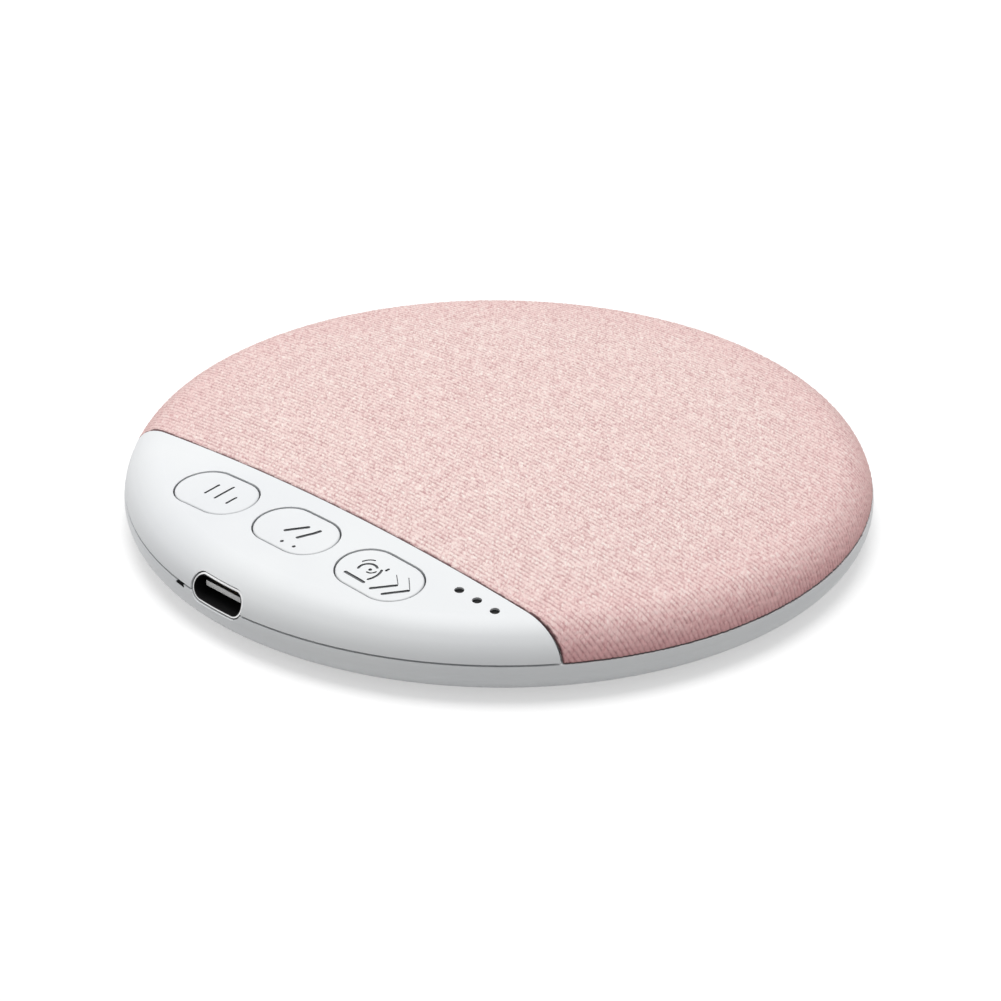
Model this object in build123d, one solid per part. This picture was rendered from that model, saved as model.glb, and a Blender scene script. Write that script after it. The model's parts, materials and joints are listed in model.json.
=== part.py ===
"""A round pillow speaker: a thin pebble of white plastic with a cloth-covered top and three buttons.

Frame: +Z up, origin at the centre of the flat base. The charging socket faces -Y, and the straight edge between
the cloth and the button panel runs along X. All lengths are in millimetres.
"""

from build123d import *
import os
from math import atan2, cos, degrees, hypot, radians, sin, sqrt

# Outer form of the pebble
DISC_RADIUS = 48.0
BODY_HEIGHT = 12.0
SEAM_HEIGHT = 4.9
EQUATOR_DROP = 1.0
SHOULDER_RADIUS = 5.6
HEEL_RADIUS = 3.0
HEEL_ANGLE = 64.0

# Walls, gaps and the layers of the covered top
WALL = 1.5
DECK_WALL = 1.2
STEP_WALL = 1.0
FABRIC_THICK = 0.8
CARRIER_THICK = 1.2
CARRIER_GAP = 0.15
PANEL_SHARE = 0.4104
EDGE_GAP = 0.24
EDGE_TILT = 4.5
SEAM_GAP = 0.25
SEAT_HEIGHT = 0.8
SEAT_GAP = 0.1
LIP_DEPTH = 1.2
LIP_THICK = 1.2
LIP_CLEARANCE = 0.15
LIP_NOTCH_MARGIN = 0.8
OVERRUN = 2.0

# Snap barbs on the lip, beside the charging socket
BARB_ANGLES = (-122.0, -58.0)
BARB_WIDTH = 6.0
BARB_HEIGHT = 0.6
BARB_REACH = 0.45
BARB_CLEARANCE = 0.12

# Buttons and the light holes beside them
BUTTON_LENGTH_SHARE = 0.2479
BUTTON_WIDTH_SHARE = 0.1625
BUTTON_SPACE_SHARE = 0.05625
BUTTON_MARGIN_SHARE = 0.0604
BUTTON_GAP = 0.2
BUTTON_TRAVEL = 0.3
BUTTON_ROUND = 0.25
FLANGE_REACH = 0.7
FLANGE_SIDE_INSET = 0.3
FLANGE_THICK = 0.8
FLANGE_GAP = 0.15
STEM_RADIUS = 1.6
LIGHT_COUNT = 3
LIGHT_HOLE_RADIUS = 0.6
LIGHT_PITCH_SHARE = 0.061
LIGHT_OFFSET_SHARE = 0.1277
LIGHT_INSET_SHARE = 0.0542
LIGHT_PIN_CLEARANCE = 0.05
LIGHT_PIN_RECESS = 0.2
LIGHT_BAR_GAP = 0.6
LIGHT_BAR_THICK = 1.1
LIGHT_BAR_MARGIN = 1.3
GLUE_GAP = 0.05

# Charging socket and the sound slot beside it
USB_WIDTH = 8.94
USB_HEIGHT = 3.26
USB_BUTTON_GAP = 1.1
USB_SKIN = 0.3
USB_BACK = 1.6
USB_CLEARANCE = 0.2
USB_RECESS = 0.2
PORT_RISE = 0.9
PORT_SHIFT = 0.8
TONGUE_SIDE_GAP = 0.825
TONGUE_THICK = 0.7
TONGUE_SETBACK = 1.4
CONTACT_COUNT = 6
CONTACT_WIDTH = 0.35
CONTACT_THICK = 0.08
CONTACT_PITCH = 0.9
CONTACT_SETBACK = 0.5
SLOT_SHARE = 0.1583
SLOT_LENGTH = 1.8
SLOT_HEIGHT = 0.38
GAUZE_RECESS = 0.1
GAUZE_CLEARANCE = 0.02

# Circuit board
BOARD_THICK = 1.0
BOARD_EDGE_GAP = 0.8
BOARD_REACH_SHARE = 0.2667
BOARD_POST_INSET_SHARE = 0.0833
BOARD_POST_SHARES = (-0.76, 0, 0.76)
BOARD_POST_WALL = 1.2
SUPPORT_RADIUS = 1.8

# Pieces soldered to the board
SWITCH_SHARE = 0.577
SWITCH_HEIGHT = 1.6
SWITCH_FLOOR = 0.4
PLUNGER_RADIUS = 1.0
PLUNGER_RISE = 0.8
PLUNGER_CLEARANCE = 0.1
PLUNGER_SLACK = 0.1
LED_LENGTH = 1.6
LED_WIDTH = 0.8
LED_HEIGHT = 0.6
CHIP_ROW_SHARE = 0.1875
CHIP_HEIGHT = 0.9
RADIO_CHIP_SIZE = 6.0
RADIO_CHIP_SHARE = -0.55
MEMORY_LENGTH = 5.0
MEMORY_WIDTH = 4.0
MEMORY_SHARE = -0.34
CRYSTAL_LENGTH = 2.5
CRYSTAL_WIDTH = 3.2
CRYSTAL_HEIGHT = 0.8
CRYSTAL_SHARE = -0.70
AMPLIFIER_SIZE = 4.0
AMPLIFIER_SHARE = 0.24
INDUCTOR_SIZE = 4.0
INDUCTOR_HEIGHT = 1.5
INDUCTOR_ROUND = 0.8
INDUCTOR_SHARE = 0.62
CAPACITOR_LENGTH = 1.6
CAPACITOR_WIDTH = 0.8
CAPACITOR_HEIGHT = 0.8
CAPACITOR_SHARES = (0.36, 0.42, 0.48, 0.54)
MICROPHONE_LENGTH = 3.8
MICROPHONE_WIDTH = 3.0
MICROPHONE_HEIGHT = 1.1
MICROPHONE_EDGE_GAP = 1.2
SOCKET_LENGTH = 6.0
SOCKET_DEPTH = 4.0
SOCKET_HEIGHT = 1.7
SOCKET_INSET = 1.0

# Battery, its tape and the wires
BATTERY_WIDTH_SHARE = 0.5417
BATTERY_LENGTH_SHARE = 0.6667
BATTERY_THICK = 3.8
BATTERY_ROUND = 1.2
TAPE_THICK = 0.4
TAPE_MARGIN = 2.0
BAY_GAP = 3.0
WIRE_ROOM = 5.5
WIRE_RADIUS = 0.45
WIRE_PITCH = 2.0
WIRE_BEND = 1.2
WIRE_STRAIGHT = 2.0

# Loudspeaker
DRIVER_SHARE = 0.3542
DRIVER_RIM_SHARE = 0.147
DRIVER_ROOM = 4.5
DRIVER_SEAT_DROP = 0.25
DRIVER_BACK_GAP = 0.3
GASKET_THICK = 0.4
BASKET_FLANGE_THICK = 0.8
BASKET_WALL_SHARE = 0.0647
BASKET_FLOOR_THICK = 0.8
BASKET_FLOOR_DROP = 1.0
BASKET_VENTS = 6
BASKET_VENT_MARGIN = 0.7
YOKE_WALL = 1.0
YOKE_FLOOR = 0.9
YOKE_RIM_DROP = 0.6
POLE_SHARE = 0.3176
POLE_THICK = 0.7
COIL_CLEARANCE = 0.35
COIL_THICK = 0.8
COIL_TRAVEL = 0.3
COIL_FOOT_MARGIN = 0.2
CONE_THICK = 0.3
CONE_RISE = 0.5
CAP_RISE = 0.9
SURROUND_SHARE = 0.1412
SURROUND_THICK = 0.3
SURROUND_LEDGE = 0.6
TERMINAL_LENGTH = 6.0
TERMINAL_THICK = 1.0
TERMINAL_DEPTH = 1.7

# Sound holes in the plate over the loudspeaker
GRILLE_RINGS = 3
GRILLE_HOLE_RADIUS = 1.2
GRILLE_MARGIN = 0.6
GRILLE_HOLES_PER_STEP = 6

# Screws and hooks
CASE_BOSS_INSET = 2.9
CASE_BOSS_ANGLES = (-6.0, 70.0, 110.0, 186.0)
CASE_BOSS_WALL = 1.6
CASE_POST_WALL = 0.9
SCREW_RADIUS = 1.0
SCREW_HEAD_RADIUS = 1.9
SCREW_HEAD_HEIGHT = 1.2
SCREW_HEAD_CLEARANCE = 0.54
SCREW_BITE = 2.6
SCREW_CLEARANCE = 0.15
THREAD_CLEARANCE = 0.03
DRIVE_SLOT_WIDTH = 0.5
DRIVE_SLOT_DEPTH = 0.6
DRIVE_SLOT_SHARE = 0.6
BOARD_SCREW_RADIUS = 0.75
BOARD_SCREW_HEAD_RADIUS = 1.5
BOARD_SCREW_HEAD_HEIGHT = 0.8
BOARD_SCREW_BITE = 1.6
HOOK_CIRCLE_INSET = 4.0
HOOK_ANGLES = (60.0, 120.0)
FRONT_HOOK_SHARE = 0.1
FRONT_HOOK_INSET = 4.5
HOOK_WIDTH = 4.0
HOOK_THICK = 1.2
HOOK_DROP = 1.3
HOOK_BARB = 0.4
HOOK_CLEARANCE = 0.15

# Sizes in plan that grow with the disc
PANEL_DEPTH = PANEL_SHARE * DISC_RADIUS
BUTTON_LENGTH = BUTTON_LENGTH_SHARE * DISC_RADIUS
BUTTON_WIDTH = BUTTON_WIDTH_SHARE * DISC_RADIUS
BUTTON_SPACE = BUTTON_SPACE_SHARE * DISC_RADIUS
BUTTON_MARGIN = BUTTON_MARGIN_SHARE * DISC_RADIUS
LIGHT_PITCH = LIGHT_PITCH_SHARE * DISC_RADIUS
LIGHT_OFFSET = LIGHT_OFFSET_SHARE * DISC_RADIUS
LIGHT_INSET = LIGHT_INSET_SHARE * DISC_RADIUS
BOARD_REACH = BOARD_REACH_SHARE * DISC_RADIUS
BOARD_POST_INSET = BOARD_POST_INSET_SHARE * DISC_RADIUS
CHIP_ROW_INSET = CHIP_ROW_SHARE * DISC_RADIUS
BATTERY_WIDTH = BATTERY_WIDTH_SHARE * DISC_RADIUS
BATTERY_LENGTH = BATTERY_LENGTH_SHARE * DISC_RADIUS
DRIVER_RADIUS = DRIVER_SHARE * DISC_RADIUS
DRIVER_RIM = DRIVER_RIM_SHARE * DRIVER_RADIUS
BASKET_WALL = BASKET_WALL_SHARE * DRIVER_RADIUS
POLE_RADIUS = POLE_SHARE * DRIVER_RADIUS
SURROUND_WIDTH = SURROUND_SHARE * DRIVER_RADIUS
FRONT_HOOK_X = FRONT_HOOK_SHARE * DISC_RADIUS
SLOT_X = SLOT_SHARE * DISC_RADIUS
SWITCH_SIZE = SWITCH_SHARE * BUTTON_WIDTH
LIGHT_BAR_WIDTH = 2 * (LIGHT_INSET - STEP_WALL - LIGHT_BAR_GAP)

# The outline's centres and radii
EQUATOR_Z = SEAM_HEIGHT - EQUATOR_DROP
RIM_CENTRE = DISC_RADIUS - SHOULDER_RADIUS
CROWN_RISE = BODY_HEIGHT - EQUATOR_Z
DOME_RADIUS = (RIM_CENTRE**2 + CROWN_RISE**2 - SHOULDER_RADIUS**2) / (2 * (CROWN_RISE - SHOULDER_RADIUS))
DOME_CENTRE_Z = BODY_HEIGHT - DOME_RADIUS
DOME_ANGLE = degrees(atan2(EQUATOR_Z - DOME_CENTRE_Z, RIM_CENTRE))
HEEL_CENTRE = DISC_RADIUS - HEEL_RADIUS
HEEL_SINE = sin(radians(HEEL_ANGLE))
HEEL_COSINE = cos(radians(HEEL_ANGLE))
FOOT_RADIUS = (EQUATOR_Z - HEEL_RADIUS * HEEL_SINE) / (1 - HEEL_SINE)
FOOT_CENTRE = HEEL_CENTRE - (FOOT_RADIUS - HEEL_RADIUS) * HEEL_COSINE
SPAN = 2 * DISC_RADIUS


def wall_radius(z, inset=0):
    """Radius of the rounded rim at height z, for the form taken in by inset."""
    return RIM_CENTRE + sqrt((SHOULDER_RADIUS - inset) ** 2 - (z - EQUATOR_Z) ** 2)


def dome_z(x, y, inset=0):
    """Height of the rounded top over the point x, y, for the form taken in by inset."""
    reach = hypot(x, y)
    dome_edge = RIM_CENTRE + (SHOULDER_RADIUS - inset) * cos(radians(DOME_ANGLE))
    if reach > dome_edge:
        return EQUATOR_Z + sqrt((SHOULDER_RADIUS - inset) ** 2 - (reach - RIM_CENTRE) ** 2)
    return DOME_CENTRE_Z + sqrt((DOME_RADIUS - inset) ** 2 - reach**2)


# Layers of the top, from the cloth down
PANEL_CHORD = DISC_RADIUS - PANEL_DEPTH
STACK = FABRIC_THICK + CARRIER_THICK + CARRIER_GAP
DECK_INSET = STACK + DECK_WALL
DECK_MIDDLE = STACK + DECK_WALL / 2
CARRIER_INSET = FABRIC_THICK + CARRIER_THICK
FABRIC_EDGE = -PANEL_CHORD + EDGE_GAP
CARRIER_EDGE = FABRIC_EDGE + FABRIC_THICK
SEAT_TOP = SEAM_HEIGHT + SEAT_HEIGHT
HEM_Z = SEAT_TOP + SEAT_GAP
LIP_OUTER = wall_radius(SEAM_HEIGHT, WALL) - LIP_CLEARANCE
LIP_INNER = LIP_OUTER - LIP_THICK
LIP_FOOT = SEAM_HEIGHT - LIP_DEPTH
SEAT_OUTER = wall_radius(SEAT_TOP, FABRIC_THICK) - SEAT_GAP

# Heights and edges of the board, and the line of the buttons
BUTTON_ROW = PANEL_CHORD + BUTTON_MARGIN + BUTTON_WIDTH / 2
PORT_Z = SEAM_HEIGHT + PORT_RISE
USB_FRONT = wall_radius(PORT_Z) - USB_RECESS
USB_DEPTH = USB_FRONT - BUTTON_ROW - BUTTON_WIDTH / 2 - USB_BUTTON_GAP
TONGUE_WIDTH = USB_WIDTH - 2 * (USB_SKIN + TONGUE_SIDE_GAP)
BOARD_TOP = PORT_Z - USB_HEIGHT / 2
BOARD_BOTTOM = BOARD_TOP - BOARD_THICK
BOARD_RADIUS = LIP_INNER - BOARD_EDGE_GAP
BOARD_CHORD = PANEL_CHORD - BOARD_REACH
CHIP_ROW = -BOARD_CHORD - CHIP_ROW_INSET
SOCKET_FACE = -BOARD_CHORD - SOCKET_INSET
WIRE_ENTRY = BOARD_TOP + SOCKET_HEIGHT / 2
PLUNGER_TOP = BOARD_TOP + SWITCH_HEIGHT + PLUNGER_RISE

# Places of buttons, lights, board posts, screws and hooks
BUTTON_PITCH = BUTTON_LENGTH + BUTTON_SPACE
BUTTON_PLACES = {
    "left": (-BUTTON_PITCH, -BUTTON_ROW),
    "middle": (0, -BUTTON_ROW),
    "right": (BUTTON_PITCH, -BUTTON_ROW),
}
LIGHT_MIDDLE_X = BUTTON_PITCH + BUTTON_LENGTH / 2 + LIGHT_OFFSET
LIGHT_ROW = PANEL_CHORD + LIGHT_INSET
LIGHT_PLACES = [
    (LIGHT_MIDDLE_X + (i - (LIGHT_COUNT - 1) / 2) * LIGHT_PITCH, -LIGHT_ROW) for i in range(LIGHT_COUNT)
]
BOARD_POST_PLACES = [(share * BOARD_RADIUS, -BOARD_CHORD - BOARD_POST_INSET) for share in BOARD_POST_SHARES]
CASE_BOSS_CIRCLE = RIM_CENTRE - CASE_BOSS_INSET
SCREW_HEAD_TOP = dome_z(CASE_BOSS_CIRCLE + SCREW_HEAD_RADIUS, 0, CARRIER_INSET) - SCREW_HEAD_CLEARANCE
SCREW_SEAT = SCREW_HEAD_TOP - SCREW_HEAD_HEIGHT - SEAM_HEIGHT
CASE_BOSS_PLACES = [
    (CASE_BOSS_CIRCLE * cos(radians(a)), CASE_BOSS_CIRCLE * sin(radians(a))) for a in CASE_BOSS_ANGLES
]
HOOK_CIRCLE = RIM_CENTRE - HOOK_CIRCLE_INSET
HOOK_PLACES = [(HOOK_CIRCLE * cos(radians(a)), HOOK_CIRCLE * sin(radians(a))) for a in HOOK_ANGLES]
HOOK_PLACES += [(side * FRONT_HOOK_X, -PANEL_CHORD + FRONT_HOOK_INSET) for side in (-1, 1)]
BATTERY_PLACE = (-(BAY_GAP + BATTERY_WIDTH) / 2, -BOARD_CHORD + WIRE_ROOM + BATTERY_LENGTH / 2)
DRIVER_PLACE = (BAY_GAP / 2 + DRIVER_RADIUS, -BOARD_CHORD + DRIVER_ROOM + DRIVER_RADIUS)

# Heights and radii of the loudspeaker, which hangs under the lowest part of the deck above it
DRIVER_OPENING = DRIVER_RADIUS - DRIVER_RIM
DRIVER_SEAT = dome_z(hypot(*DRIVER_PLACE) + DRIVER_RADIUS, 0, DECK_INSET) - DRIVER_SEAT_DROP
GASKET_BOTTOM = DRIVER_SEAT - GASKET_THICK
FLANGE_BOTTOM = GASKET_BOTTOM - BASKET_FLANGE_THICK
BASKET_INNER = DRIVER_OPENING - BASKET_WALL
BASKET_FLOOR_TOP = FLANGE_BOTTOM - BASKET_FLOOR_DROP
BASKET_FLOOR_BOTTOM = BASKET_FLOOR_TOP - BASKET_FLOOR_THICK
YOKE_BOTTOM = WALL + DRIVER_BACK_GAP
YOKE_TOP = FLANGE_BOTTOM - YOKE_RIM_DROP
COIL_INNER = POLE_RADIUS + COIL_CLEARANCE
COIL_OUTER = COIL_INNER + COIL_THICK
COIL_BOTTOM = YOKE_BOTTOM + YOKE_FLOOR + COIL_TRAVEL + COIL_FOOT_MARGIN
YOKE_RADIUS = COIL_OUTER + COIL_CLEARANCE + YOKE_WALL
CONE_FOOT = GASKET_BOTTOM - CONE_RISE
CONE_RADIUS = BASKET_INNER - SURROUND_WIDTH


# Small helpers for shapes

def block(low, high):
    """A box between two opposite corners."""
    size = [b - a for a, b in zip(low, high)]
    return Pos(*low) * Box(*size, align=(Align.MIN, Align.MIN, Align.MIN))


def above(shape, z):
    return shape & block((-SPAN, -SPAN, z), (SPAN, SPAN, z + SPAN))


def below(shape, z):
    return shape & block((-SPAN, -SPAN, z - SPAN), (SPAN, SPAN, z))


def sloping_cut(y):
    """All that lies behind a slightly sloping plane, which meets the dome along the line y."""
    pivot = dome_z(0, PANEL_CHORD)
    return Pos(0, y, pivot) * Rot(-EDGE_TILT, 0, 0) * block((-SPAN, 0, -SPAN), (SPAN, SPAN, SPAN))


def behind(shape, y):
    return shape & sloping_cut(y)


def before(shape, y):
    return shape - sloping_cut(y)


def column(x, y, radius, low, high):
    """An upright cylinder over the point x, y."""
    return Pos(x, y, low) * Cylinder(radius, high - low, align=(Align.CENTER, Align.CENTER, Align.MIN))


def tube(x, y, outer, inner, low, high):
    return column(x, y, outer, low, high) - column(x, y, inner, low, high)


def stadium(place, length, width, low, high):
    """An upright bar with round ends."""
    return extrude(Pos(*place, low) * SlotOverall(length, width), high - low)


def spun(profile, centre=(0, 0)):
    """A solid turned about the upright axis through centre from a closed outline in X and Z."""
    return Pos(*centre, 0) * revolve(make_face(Plane.XZ * profile), Axis.Z)


def on_board(place, length, width, height):
    """A box soldered to the top of the circuit board, centred on its place."""
    x, y = place
    low = (x - length / 2, y - width / 2, BOARD_TOP)
    high = (x + length / 2, y + width / 2, BOARD_TOP + height)
    return block(low, high)


# Main forms

def upper_form(inset):
    """The domed form above its widest line, taken in by inset."""
    shoulder = SHOULDER_RADIUS - inset
    dome = DOME_RADIUS - inset
    rim = (RIM_CENTRE + shoulder, EQUATOR_Z)
    crown = (0, DOME_CENTRE_Z + dome)
    profile = (
        Line((0, EQUATOR_Z), rim)
        + CenterArc((RIM_CENTRE, EQUATOR_Z), shoulder, 0, DOME_ANGLE)
        + CenterArc((0, DOME_CENTRE_Z), dome, DOME_ANGLE, 90 - DOME_ANGLE)
        + Line(crown, (0, EQUATOR_Z))
    )
    return spun(profile)


def upper_shell(outer, inner):
    """The layer between two insets of the domed form."""
    return upper_form(outer) - upper_form(inner)


def base_form(inset):
    """The form below its widest line, down to the flat base, taken in by inset."""
    rim = (DISC_RADIUS - inset, EQUATOR_Z)
    profile = (
        Line((0, EQUATOR_Z), (0, inset))
        + Line((0, inset), (FOOT_CENTRE, inset))
        + CenterArc((FOOT_CENTRE, FOOT_RADIUS), FOOT_RADIUS - inset, -90, 90 - HEEL_ANGLE)
        + CenterArc((HEEL_CENTRE, EQUATOR_Z), HEEL_RADIUS - inset, -HEEL_ANGLE, HEEL_ANGLE)
        + Line(rim, (0, EQUATOR_Z))
    )
    return spun(profile)


def port_prism(growth, length=USB_DEPTH + OVERRUN):
    """The round-ended outline of the charging socket, grown all round and run out from the socket's back."""
    outline = SlotOverall(USB_WIDTH + 2 * growth, USB_HEIGHT + 2 * growth)
    start = Plane((-PORT_SHIFT, -USB_FRONT + USB_DEPTH, PORT_Z), x_dir=(1, 0, 0), z_dir=(0, -1, 0))
    return extrude(start * outline, length)


def sound_slot(clearance=0):
    """The small slot through the rim, just under the seam, taken in by clearance."""
    start = Plane((-SLOT_X, -LIP_INNER, SEAM_HEIGHT - SLOT_HEIGHT / 2), x_dir=(1, 0, 0), z_dir=(0, -1, 0))
    outline = SlotOverall(SLOT_LENGTH - 2 * clearance, SLOT_HEIGHT - 2 * clearance)
    return extrude(start * outline, DISC_RADIUS - LIP_INNER + OVERRUN)


def barb(angle, grown):
    """One snap barb at the foot of the lip, grown on every side."""
    half = BARB_WIDTH / 2 + grown
    outer = LIP_OUTER + BARB_REACH + grown
    root = LIP_INNER + LIP_THICK / 2
    piece = block((root, -half, LIP_FOOT - grown), (outer + OVERRUN, half, LIP_FOOT + BARB_HEIGHT + grown))
    return (Rot(0, 0, angle) * piece) & column(0, 0, outer, 0, SEAM_HEIGHT)


# Casing

def bottom_shell():
    """The plain lower half, with screw bosses and rests for the board inside."""
    outer = base_form(0) + below(upper_form(0), SEAM_HEIGHT)
    inner = base_form(WALL) + below(upper_form(WALL), SEAM_HEIGHT)
    shell = outer - inner
    pilot = SCREW_RADIUS + THREAD_CLEARANCE
    for x, y in CASE_BOSS_PLACES:
        shell += column(x, y, pilot + CASE_BOSS_WALL, WALL / 2, SEAM_HEIGHT)
        shell -= column(x, y, pilot, SEAM_HEIGHT - SCREW_BITE, SEAM_HEIGHT)
    for x, y in BUTTON_PLACES.values():
        shell += column(x, y, SUPPORT_RADIUS, WALL / 2, BOARD_BOTTOM)
    for angle in BARB_ANGLES:
        shell -= barb(angle, BARB_CLEARANCE)
    return shell - port_prism(USB_CLEARANCE) - sound_slot()


def upper_housing():
    """One moulding: the bare button panel in front and, a step lower, the deck under the covered top."""
    step_back = -PANEL_CHORD
    step_front = step_back - STEP_WALL
    panel = before(upper_shell(0, WALL), step_back)
    deck = behind(upper_shell(STACK, DECK_INSET), step_front)
    step = behind(before(upper_shell(0, DECK_INSET), step_back), step_front)
    housing = above(panel + deck + step, SEAM_HEIGHT)
    housing -= tube(0, 0, DISC_RADIUS + OVERRUN, SEAT_OUTER, SEAM_HEIGHT, SEAM_HEIGHT + SEAM_GAP)
    for post in [seat_ring(), driver_seat()] + case_posts() + board_posts():
        housing += post
    for cut in panel_cuts() + deck_cuts():
        housing -= cut
    return housing


def seat_ring():
    """The ring that rests on the bottom shell's rim, and the lip with its barbs that goes inside the rim."""
    lip = tube(0, 0, LIP_OUTER, LIP_INNER, LIP_FOOT, SEAM_HEIGHT)
    for angle in BARB_ANGLES:
        lip += barb(angle, 0)
    lip -= lip_notch(-PORT_SHIFT, USB_WIDTH)
    lip -= lip_notch(-SLOT_X, SLOT_LENGTH)
    return lip + tube(0, 0, SEAT_OUTER, LIP_INNER, SEAM_HEIGHT, SEAT_TOP)


def lip_notch(x, width):
    """A gap in the lip behind an opening in the rim."""
    half = width / 2 + LIP_NOTCH_MARGIN
    return block((x - half, -DISC_RADIUS, LIP_FOOT), (x + half, -LIP_INNER + OVERRUN, SEAM_HEIGHT))


def driver_seat():
    """A flat seat under the deck that the loudspeaker is glued to."""
    return column(*DRIVER_PLACE, DRIVER_RADIUS, DRIVER_SEAT, BODY_HEIGHT) & upper_form(DECK_MIDDLE)


def case_posts():
    """Posts under the deck that stand on the bosses of the bottom shell."""
    radius = SCREW_HEAD_RADIUS + SCREW_CLEARANCE + CASE_POST_WALL
    return [column(x, y, radius, SEAM_HEIGHT, dome_z(x, y, DECK_MIDDLE)) for x, y in CASE_BOSS_PLACES]


def board_posts():
    """Posts that hang from the deck and carry the circuit board."""
    radius = BOARD_SCREW_RADIUS + THREAD_CLEARANCE + BOARD_POST_WALL
    return [column(x, y, radius, BOARD_TOP, dome_z(x, y, DECK_MIDDLE)) for x, y in BOARD_POST_PLACES]


def panel_cuts():
    """Openings for the buttons, the lights and the charging socket."""
    length = BUTTON_LENGTH + 2 * BUTTON_GAP
    width = BUTTON_WIDTH + 2 * BUTTON_GAP
    cuts = [stadium(place, length, width, SEAM_HEIGHT, BODY_HEIGHT) for place in BUTTON_PLACES.values()]
    cuts += [column(*place, LIGHT_HOLE_RADIUS, SEAM_HEIGHT, BODY_HEIGHT) for place in LIGHT_PLACES]
    return cuts + [port_prism(USB_CLEARANCE)]


def deck_cuts():
    """The loudspeaker's opening, screw wells, pilot holes for the board screws and slots for the hooks."""
    cuts = [column(*DRIVER_PLACE, DRIVER_OPENING, SEAM_HEIGHT, BODY_HEIGHT)]
    for x, y in CASE_BOSS_PLACES:
        well = SCREW_HEAD_RADIUS + SCREW_CLEARANCE
        cuts.append(column(x, y, well, SEAM_HEIGHT + SCREW_SEAT, BODY_HEIGHT))
        cuts.append(column(x, y, SCREW_RADIUS + SCREW_CLEARANCE, SEAM_HEIGHT, BODY_HEIGHT))
    for x, y in BOARD_POST_PLACES:
        pilot = BOARD_SCREW_RADIUS + THREAD_CLEARANCE
        cuts.append(column(x, y, pilot, BOARD_TOP, BOARD_TOP + BOARD_SCREW_BITE))
    for x, y in HOOK_PLACES:
        half = HOOK_WIDTH / 2 + HOOK_CLEARANCE
        back = HOOK_THICK / 2 + HOOK_CLEARANCE
        front = back + HOOK_BARB
        cuts.append(block((x - half, y - front, SEAT_TOP), (x + half, y + back, BODY_HEIGHT)))
    return cuts


# Covered top

def grille_carrier():
    """The plate that the cloth is stretched over, with sound holes above the loudspeaker and snap hooks below."""
    layer = upper_shell(FABRIC_THICK, CARRIER_INSET)
    plate = above(behind(layer, CARRIER_EDGE), HEM_Z + FABRIC_THICK)
    for place in grille_places():
        plate -= column(*place, GRILLE_HOLE_RADIUS, SEAM_HEIGHT, BODY_HEIGHT)
    for place in HOOK_PLACES:
        plate += hook(*place)
    return plate


def grille_places():
    """Rings of sound holes about the loudspeaker's axis."""
    x, y = DRIVER_PLACE
    pitch = (DRIVER_OPENING - GRILLE_HOLE_RADIUS - GRILLE_MARGIN) / GRILLE_RINGS
    places = [(x, y)]
    for ring in range(1, GRILLE_RINGS + 1):
        count = ring * GRILLE_HOLES_PER_STEP
        for i in range(count):
            turn = radians(360 * i / count)
            places.append((x + ring * pitch * cos(turn), y + ring * pitch * sin(turn)))
    return places


def hook(x, y):
    """A snap hook that passes through the deck and catches under it."""
    half = HOOK_THICK / 2
    root = dome_z(x, y, FABRIC_THICK + CARRIER_THICK / 2)
    reach = half + HOOK_BARB
    corners = [(x + i * HOOK_WIDTH / 2, y + j * reach) for i in (-1, 1) for j in (-1, 1)]
    catch = min(dome_z(*corner, DECK_INSET) for corner in corners) - HOOK_CLEARANCE
    tip = catch - HOOK_DROP
    profile = Polyline(
        (y - half, root),
        (y - half, catch),
        (y - half - HOOK_BARB, catch),
        (y - half, tip),
        (y + half, tip),
        (y + half, root),
        close=True,
    )
    start = Plane((x - HOOK_WIDTH / 2, 0, 0), x_dir=(0, 1, 0), z_dir=(1, 0, 0))
    return extrude(start * make_face(profile), HOOK_WIDTH)


def fabric_cover():
    """The cloth, wrapped over the carrier's straight edge and tucked in under its round edge."""
    top = above(behind(upper_shell(0, FABRIC_THICK), FABRIC_EDGE), SEAM_HEIGHT + SEAM_GAP)
    layer = behind(upper_shell(FABRIC_THICK, CARRIER_INSET), FABRIC_EDGE)
    straight_hem = above(before(layer, CARRIER_EDGE), HEM_Z)
    round_hem = below(above(layer, HEM_Z), HEM_Z + FABRIC_THICK)
    return top + straight_hem + round_hem


# Buttons, light guide and screws

def button(place):
    """A cap flush with the panel, a lip at each end that keeps it in, and a stem that presses the switch."""
    under = WALL + FLANGE_GAP
    foot = under + FLANGE_THICK
    cap = stadium(place, BUTTON_LENGTH, BUTTON_WIDTH, SEAM_HEIGHT, BODY_HEIGHT) & upper_shell(0, foot)
    top = cap.faces().sort_by(Axis.Z)[-1]
    cap = fillet(top.edges(), BUTTON_ROUND)
    reach = BUTTON_LENGTH + 2 * (BUTTON_GAP + FLANGE_REACH)
    width = BUTTON_WIDTH - 2 * FLANGE_SIDE_INSET
    ends = stadium(place, reach, width, SEAM_HEIGHT, BODY_HEIGHT) & upper_shell(under, foot)
    stem = column(*place, STEM_RADIUS, PLUNGER_TOP, dome_z(*place, under))
    return cap + ends + stem


def light_guide():
    """A smoked bar glued under the panel, with one pin standing in each light hole."""
    top = WALL + GLUE_GAP
    length = (LIGHT_COUNT - 1) * LIGHT_PITCH + 2 * LIGHT_BAR_MARGIN
    bar = stadium((LIGHT_MIDDLE_X, -LIGHT_ROW), length, LIGHT_BAR_WIDTH, SEAM_HEIGHT, BODY_HEIGHT)
    guide = bar & upper_shell(top, top + LIGHT_BAR_THICK)
    root = top + LIGHT_BAR_THICK / 2
    for x, y in LIGHT_PLACES:
        radius = LIGHT_HOLE_RADIUS - LIGHT_PIN_CLEARANCE
        guide += column(x, y, radius, dome_z(x, y, root), dome_z(x, y, LIGHT_PIN_RECESS))
    return guide


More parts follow.
